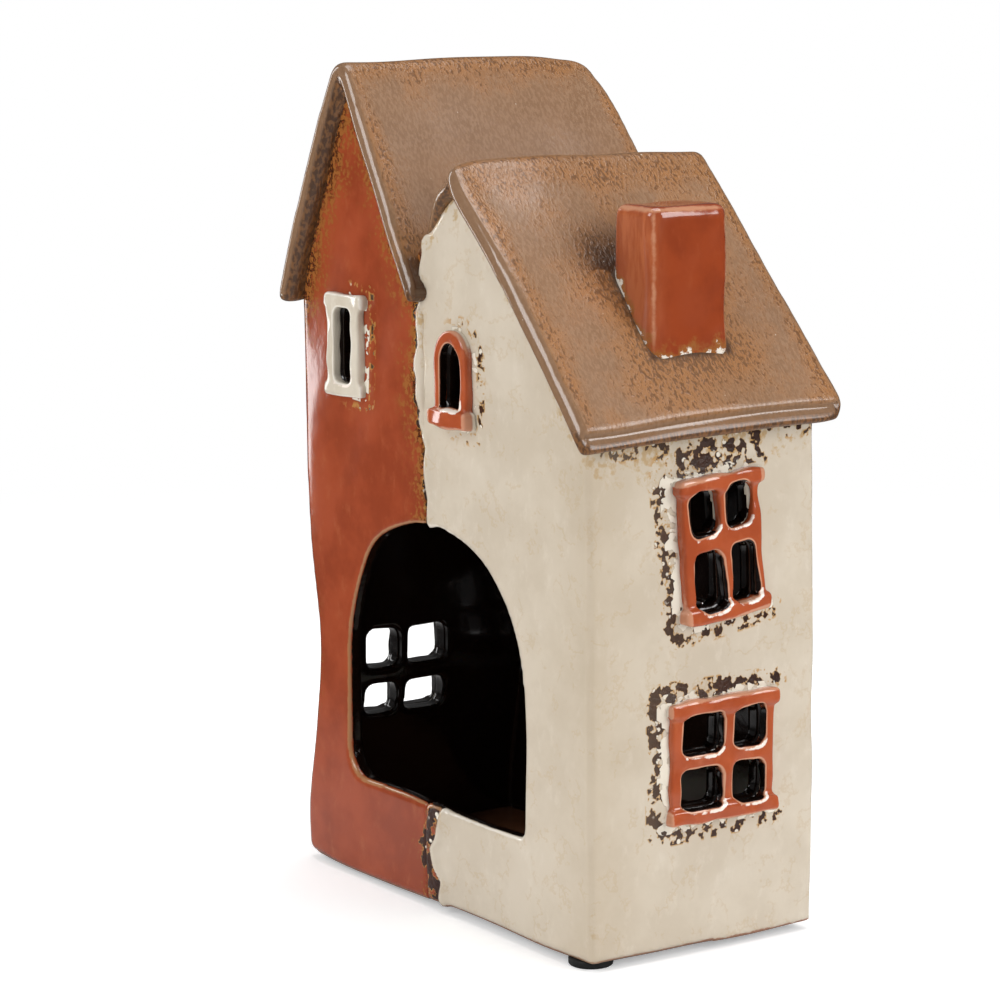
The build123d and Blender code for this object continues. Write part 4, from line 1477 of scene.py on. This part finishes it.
@dataclass
class Turned:
    """A round piece: a section turned about an upright axis, with flutes or strands round it if wanted.

    section is a row of radius, height and how far the flutes reach there, from 0 to 1.
    """

    node: str
    section: tuple
    finish: Plain
    slot: str
    body: str = "house"
    sides: int = 96
    flutes: int = 0
    flute_mm: float = 0.0
    twist: float = 0.0

    def ring(self, middle: Vector, radius: float, height: float, fluted: float) -> list:
        """One ring of points.

        Args:
            middle: the foot of the axis, in metres.
            radius: the ring's radius.
            height: the ring's height over the foot.
            fluted: how far the flutes reach, from 0 to 1.

        Returns:
            The points, in metres.
        """
        points = []
        for step in range(self.sides):
            angle = 2 * math.pi * step / self.sides
            wave = math.cos(self.flutes * (angle + self.twist * height)) if self.flutes else 0.0
            reach = (radius + fluted * self.flute_mm * wave) * MM
            points.append(middle + Vector((reach * math.cos(angle), reach * math.sin(angle), height * MM)))
        return points

    def build(self) -> Object:
        """Turns the piece where its solid stands.

        Returns:
            The finished object.
        """
        low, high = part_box(self.node)
        middle = Vector(((low.x + high.x) / 2, (low.y + high.y) / 2, low.z))
        points = [point for row in self.section for point in self.ring(middle, *row)]
        count, last = self.sides, len(points) - self.sides
        faces = [
            (start + s, start + (s + 1) % count, start + count + (s + 1) % count, start + count + s)
            for start in range(0, last, count)
            for s in range(count)
        ]
        faces += [tuple(range(count))[::-1], tuple(range(last, last + count))]
        mesh = bpy.data.meshes.new(self.node + "_turned")
        mesh.from_pydata(points, [], faces)
        mesh.polygons.foreach_set("use_smooth", [True] * len(mesh.polygons))
        obj = bpy.data.objects.new(self.node + "_turned", mesh)
        bpy.context.scene.collection.objects.link(obj)
        self.dress(obj)
        log.info("%s: %d faces", obj.name, len(mesh.polygons))
        return obj

    def dress(self, obj: Object) -> None:
        """Gives the piece its material, hangs it from its body and hides the solid that it stands for."""
        obj.data.materials.append(self.finish.material())
        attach(obj, self.body)
        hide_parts(self.node)


# Deep-drawn foil: bright, slightly blurred reflections with faint drawing marks
ALUMINIUM = Plain("pressed_aluminium_sheet", "#d5d6d8", "#bfc1c4", 2.0, 0.28, 0.02, metal=1.0)
# Poured wax: a soft glow under a dull skin
PARAFFIN = Plain("cast_white_paraffin", "#f1ece0", "#e4dccb", 6.0, 0.42, 0.03, wax=0.35)
# Braided yarn stiffened with wax: matt, with threads drawn coarser than real so that they show
COTTON = Plain("braided_waxed_cotton", "#e9e2d0", "#cfc4a8", 0.7, 0.75, 0.1)
# Stamped plate: grey, blurred metal
TINPLATE = Plain("stamped_tinned_steel", "#b9babc", "#9d9fa2", 1.5, 0.35, 0.01, metal=1.0)
# Moulded rubber: near black, with a dull sheen
RUBBER = Plain("moulded_black_rubber", "#1b1b1c", "#111112", 0.8, 0.55, 0.02)


@dataclass
class Tealight:
    """The tealight: a fluted cup, the wax with its meniscus, a braided wick and its clip."""

    cup_radius: float = 18.4
    bead: float = 0.6
    bead_height: float = 16.4
    flute_rows: int = 20
    wick_radius: float = 0.6
    wick_rows: int = 86

    def build(self) -> list:
        """Turns the tealight's parts.

        Returns:
            The parts' objects.
        """
        rows, bead = self.flute_rows, self.bead
        wall = [(self.cup_radius, 1.2 + 0.7 * r, min(1.0, r / 3, (rows - r) / 3)) for r in range(rows + 1)]
        curl = [(bead * math.cos(turn), bead * math.sin(turn)) for turn in np.linspace(-0.9, 3.3, 11)]
        rim = [(self.cup_radius + out, self.bead_height + up, 0) for out, up in curl]
        inner = [(18.0, 15.6, 0), (18.0, 1.0, 0), (17.6, 0.45, 0), (0.4, 0.4, 0)]
        cup = [(0.4, 0, 0), (16.8, 0, 0), (17.8, 0.25, 0), *wall, *rim, *inner]
        pool = [(17.9, 15.1, 0), (17.6, 14.8, 0), (16.0, 14.6, 0), (9.0, 14.5, 0)]
        well = [(3.0, 14.6, 0), (1.4, 14.9, 0), (0.9, 15.0, 0)]
        wax = [(0.9, 0, 0), (17.6, 0, 0), (17.9, 0.4, 0), *pool, *well]
        strand = [(self.wick_radius, 0.25 * row, 1) for row in range(self.wick_rows)]
        wick = [(0.2, 0, 0), *strand, (0.45, 21.6, 0), (0.15, 21.7, 0)]
        plate = [(0.9, 0, 0), (5.8, 0, 0), (6.0, 0.2, 0), (5.8, 0.4, 0), (1.6, 0.45, 0)]
        clip = [*plate, (1.25, 0.8, 0), (1.25, 3.3, 0), (0.9, 3.4, 0)]
        parts = (
            Turned("tealight_cup", tuple(cup), ALUMINIUM, "aluminium", "tealight", 240, 40, 0.22),
            Turned("tealight_wax", tuple(wax), PARAFFIN, "paraffin", "tealight"),
            Turned("tealight_wick", tuple(wick), COTTON, "cotton", "tealight", 36, 3, 0.12, 1.1),
            Turned("tealight_wick_clip", tuple(clip), TINPLATE, "tinned_steel", "tealight", 64),
        )
        return [part.build() for part in parts]


@dataclass
class Feet:
    """Four stick-on feet with rounded edges and a dished face."""

    edge_from: float = 4.9
    edge_round: float = 0.55

    def build(self) -> list:
        """Turns the feet.

        Returns:
            The feet's objects.
        """
        start, bend, turns = self.edge_from, self.edge_round, np.linspace(0, 1.5, 7)
        edge = [(start + bend * math.sin(turn), bend - bend * math.cos(turn), 0) for turn in turns]
        face = (0.3, 0.25, 0), (3.2, 0.2, 0), (4.2, 0.0, 0)
        back = (5.48, 1.5, 0), (5.3, 1.9, 0), (0.3, 2.0, 0)
        nodes = ("foot_front_low", "foot_front_tall", "foot_rear_low", "foot_rear_tall")
        return [Turned(node, (*face, *edge, *back), RUBBER, "rubber").build() for node in nodes]


@dataclass
class Softbox:
    """A rectangular studio light that looks at a point, in metres; glaze mirrors it or not."""

    name: str
    place: tuple
    target: tuple
    size: tuple
    power: float
    mirrored: bool = True

    def build(self) -> Object:
        """Hangs the light.

        Returns:
            The light's object.
        """
        lamp = bpy.data.lights.new(self.name, "AREA")
        lamp.shape, lamp.size, lamp.size_y, lamp.energy = "RECTANGLE", *self.size, self.power
        obj = bpy.data.objects.new(self.name, lamp)
        obj.location = self.place
        obj.visible_glossy = self.mirrored
        obj.rotation_euler = (Vector(self.target) - Vector(self.place)).to_track_quat("-Z", "Y").to_euler()
        bpy.context.scene.collection.objects.link(obj)
        return obj


@dataclass
class Studio:
    """Floor, lights and camera, in metres and degrees."""

    camera_at: tuple = (0.6739, -0.4875, 0.2375)
    azimuth: float = 55.17
    pitch: float = 9.21
    lens_mm: float = 118.68
    sensor_mm: float = 36.0
    floor_reach: float = 12.0
    room_light: float = 0.38
    mirrored_light: float = 0.10
    papers: tuple = ("#f3f3f3", "#f7f7f7")
    boxes: tuple = (
        Softbox("key_softbox", (0.10, -1.25, 0.95), (0, 0, 0.10), (0.55, 0.65), 5.9),
        Softbox("low_front_fill", (-0.15, -0.8, 0.08), (0, 0, 0.0), (0.6, 0.2), 1.85, mirrored=False),
        Softbox("low_side_fill", (0.9, 0.15, 0.08), (0, 0, 0.0), (0.2, 0.6), 1.55, mirrored=False),
        Softbox("side_softbox", (1.1, 0.66, 0.75), (0, 0, 0.10), (0.6, 0.8), 9.6),
        Softbox("top_softbox", (0.0, 0.1, 1.35), (0, 0, 0.12), (0.8, 0.8), 7.4),
        Softbox("left_softbox", (-0.63, -0.22, 0.20), (0, 0, 0.08), (0.10, 0.6), 0.8),
    )

    def build(self) -> None:
        """Sets the stage and the camera."""
        self.floor()
        self.sky()
        for box in self.boxes:
            box.build()
        data = bpy.data.cameras.new("photo_camera")
        data.lens, data.sensor_width = self.lens_mm, self.sensor_mm
        data.clip_start, data.clip_end = 0.01, 50.0
        camera = bpy.data.objects.new("photo_camera", data)
        camera.location = self.camera_at
        camera.rotation_euler = Euler((math.radians(90 - self.pitch), 0, math.radians(self.azimuth)))
        bpy.context.scene.collection.objects.link(camera)
        bpy.context.scene.camera = camera
        bpy.context.scene.view_settings.view_transform = "Standard"

    def floor(self) -> None:
        """A wide white floor that keeps the house's shadow and runs out into plain white."""
        mesh, reach = bpy.data.meshes.new("studio_floor"), self.floor_reach
        corners = [(-reach, -reach, 0), (reach, -reach, 0), (reach, reach, 0), (-reach, reach, 0)]
        mesh.from_pydata(corners, [], [(0, 1, 2, 3)])
        obj = bpy.data.objects.new("studio_floor", mesh)
        bpy.context.scene.collection.objects.link(obj)
        mesh.materials.append(self.paper())

    def paper(self) -> Material:
        """Matt white paper: the camera sees it white far from the house, and glaze mirrors it dimmer.

        Returns:
            The material.
        """
        recipe = Recipe(bpy.data.materials.new("matt_white_paper"))
        add = recipe.add
        away, seen = add(Step.REACH, add(Step.PLACE)), add(Step.SEEN)
        paper = add(Step.LAY, *self.papers, recipe.blobs(3.0, 4))
        dim = add(Step.TIMES, add(Step.MIRRORED), add(Step.RAMP, away, 0.05, 0.35, 0.45, 0.95))
        matt = add(Step.MATT, add(Step.LAY, paper, "#000000", dim))
        lit = add(Step.BOTH, matt, add(Step.GLOW, add(Step.TIMES, seen, 0.35)))
        share = add(Step.TIMES, seen, add(Step.RAMP, away, 0.25, 0.7))
        add(Step.END, add(Step.EITHER, share, lit, add(Step.GLOW, 1.0)))
        return recipe.owner

    def sky(self) -> None:
        """An even surround that the camera sees as white and that glossy glaze mirrors as a dim room."""
        world = bpy.data.worlds.new("white_surround")
        bpy.context.scene.world = world
        add, lights = Recipe(world).add, (self.room_light, self.mirrored_light, 1.0)
        room, mirror, backdrop = [add(Step.SKY, "#ffffff", light) for light in lights]
        room = add(Step.EITHER, add(Step.MIRRORED), room, mirror)
        add(Step.SKY_END, add(Step.EITHER, add(Step.SEEN), room, backdrop))


def main() -> None:
    """Builds the scene."""
    logging.basicConfig(level=logging.INFO, format="%(name)s: %(message)s")
    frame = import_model()
    House().build(frame)
    Tealight().build()
    Feet().build()
    Studio().build()


if __name__ == "__main__":
    main()
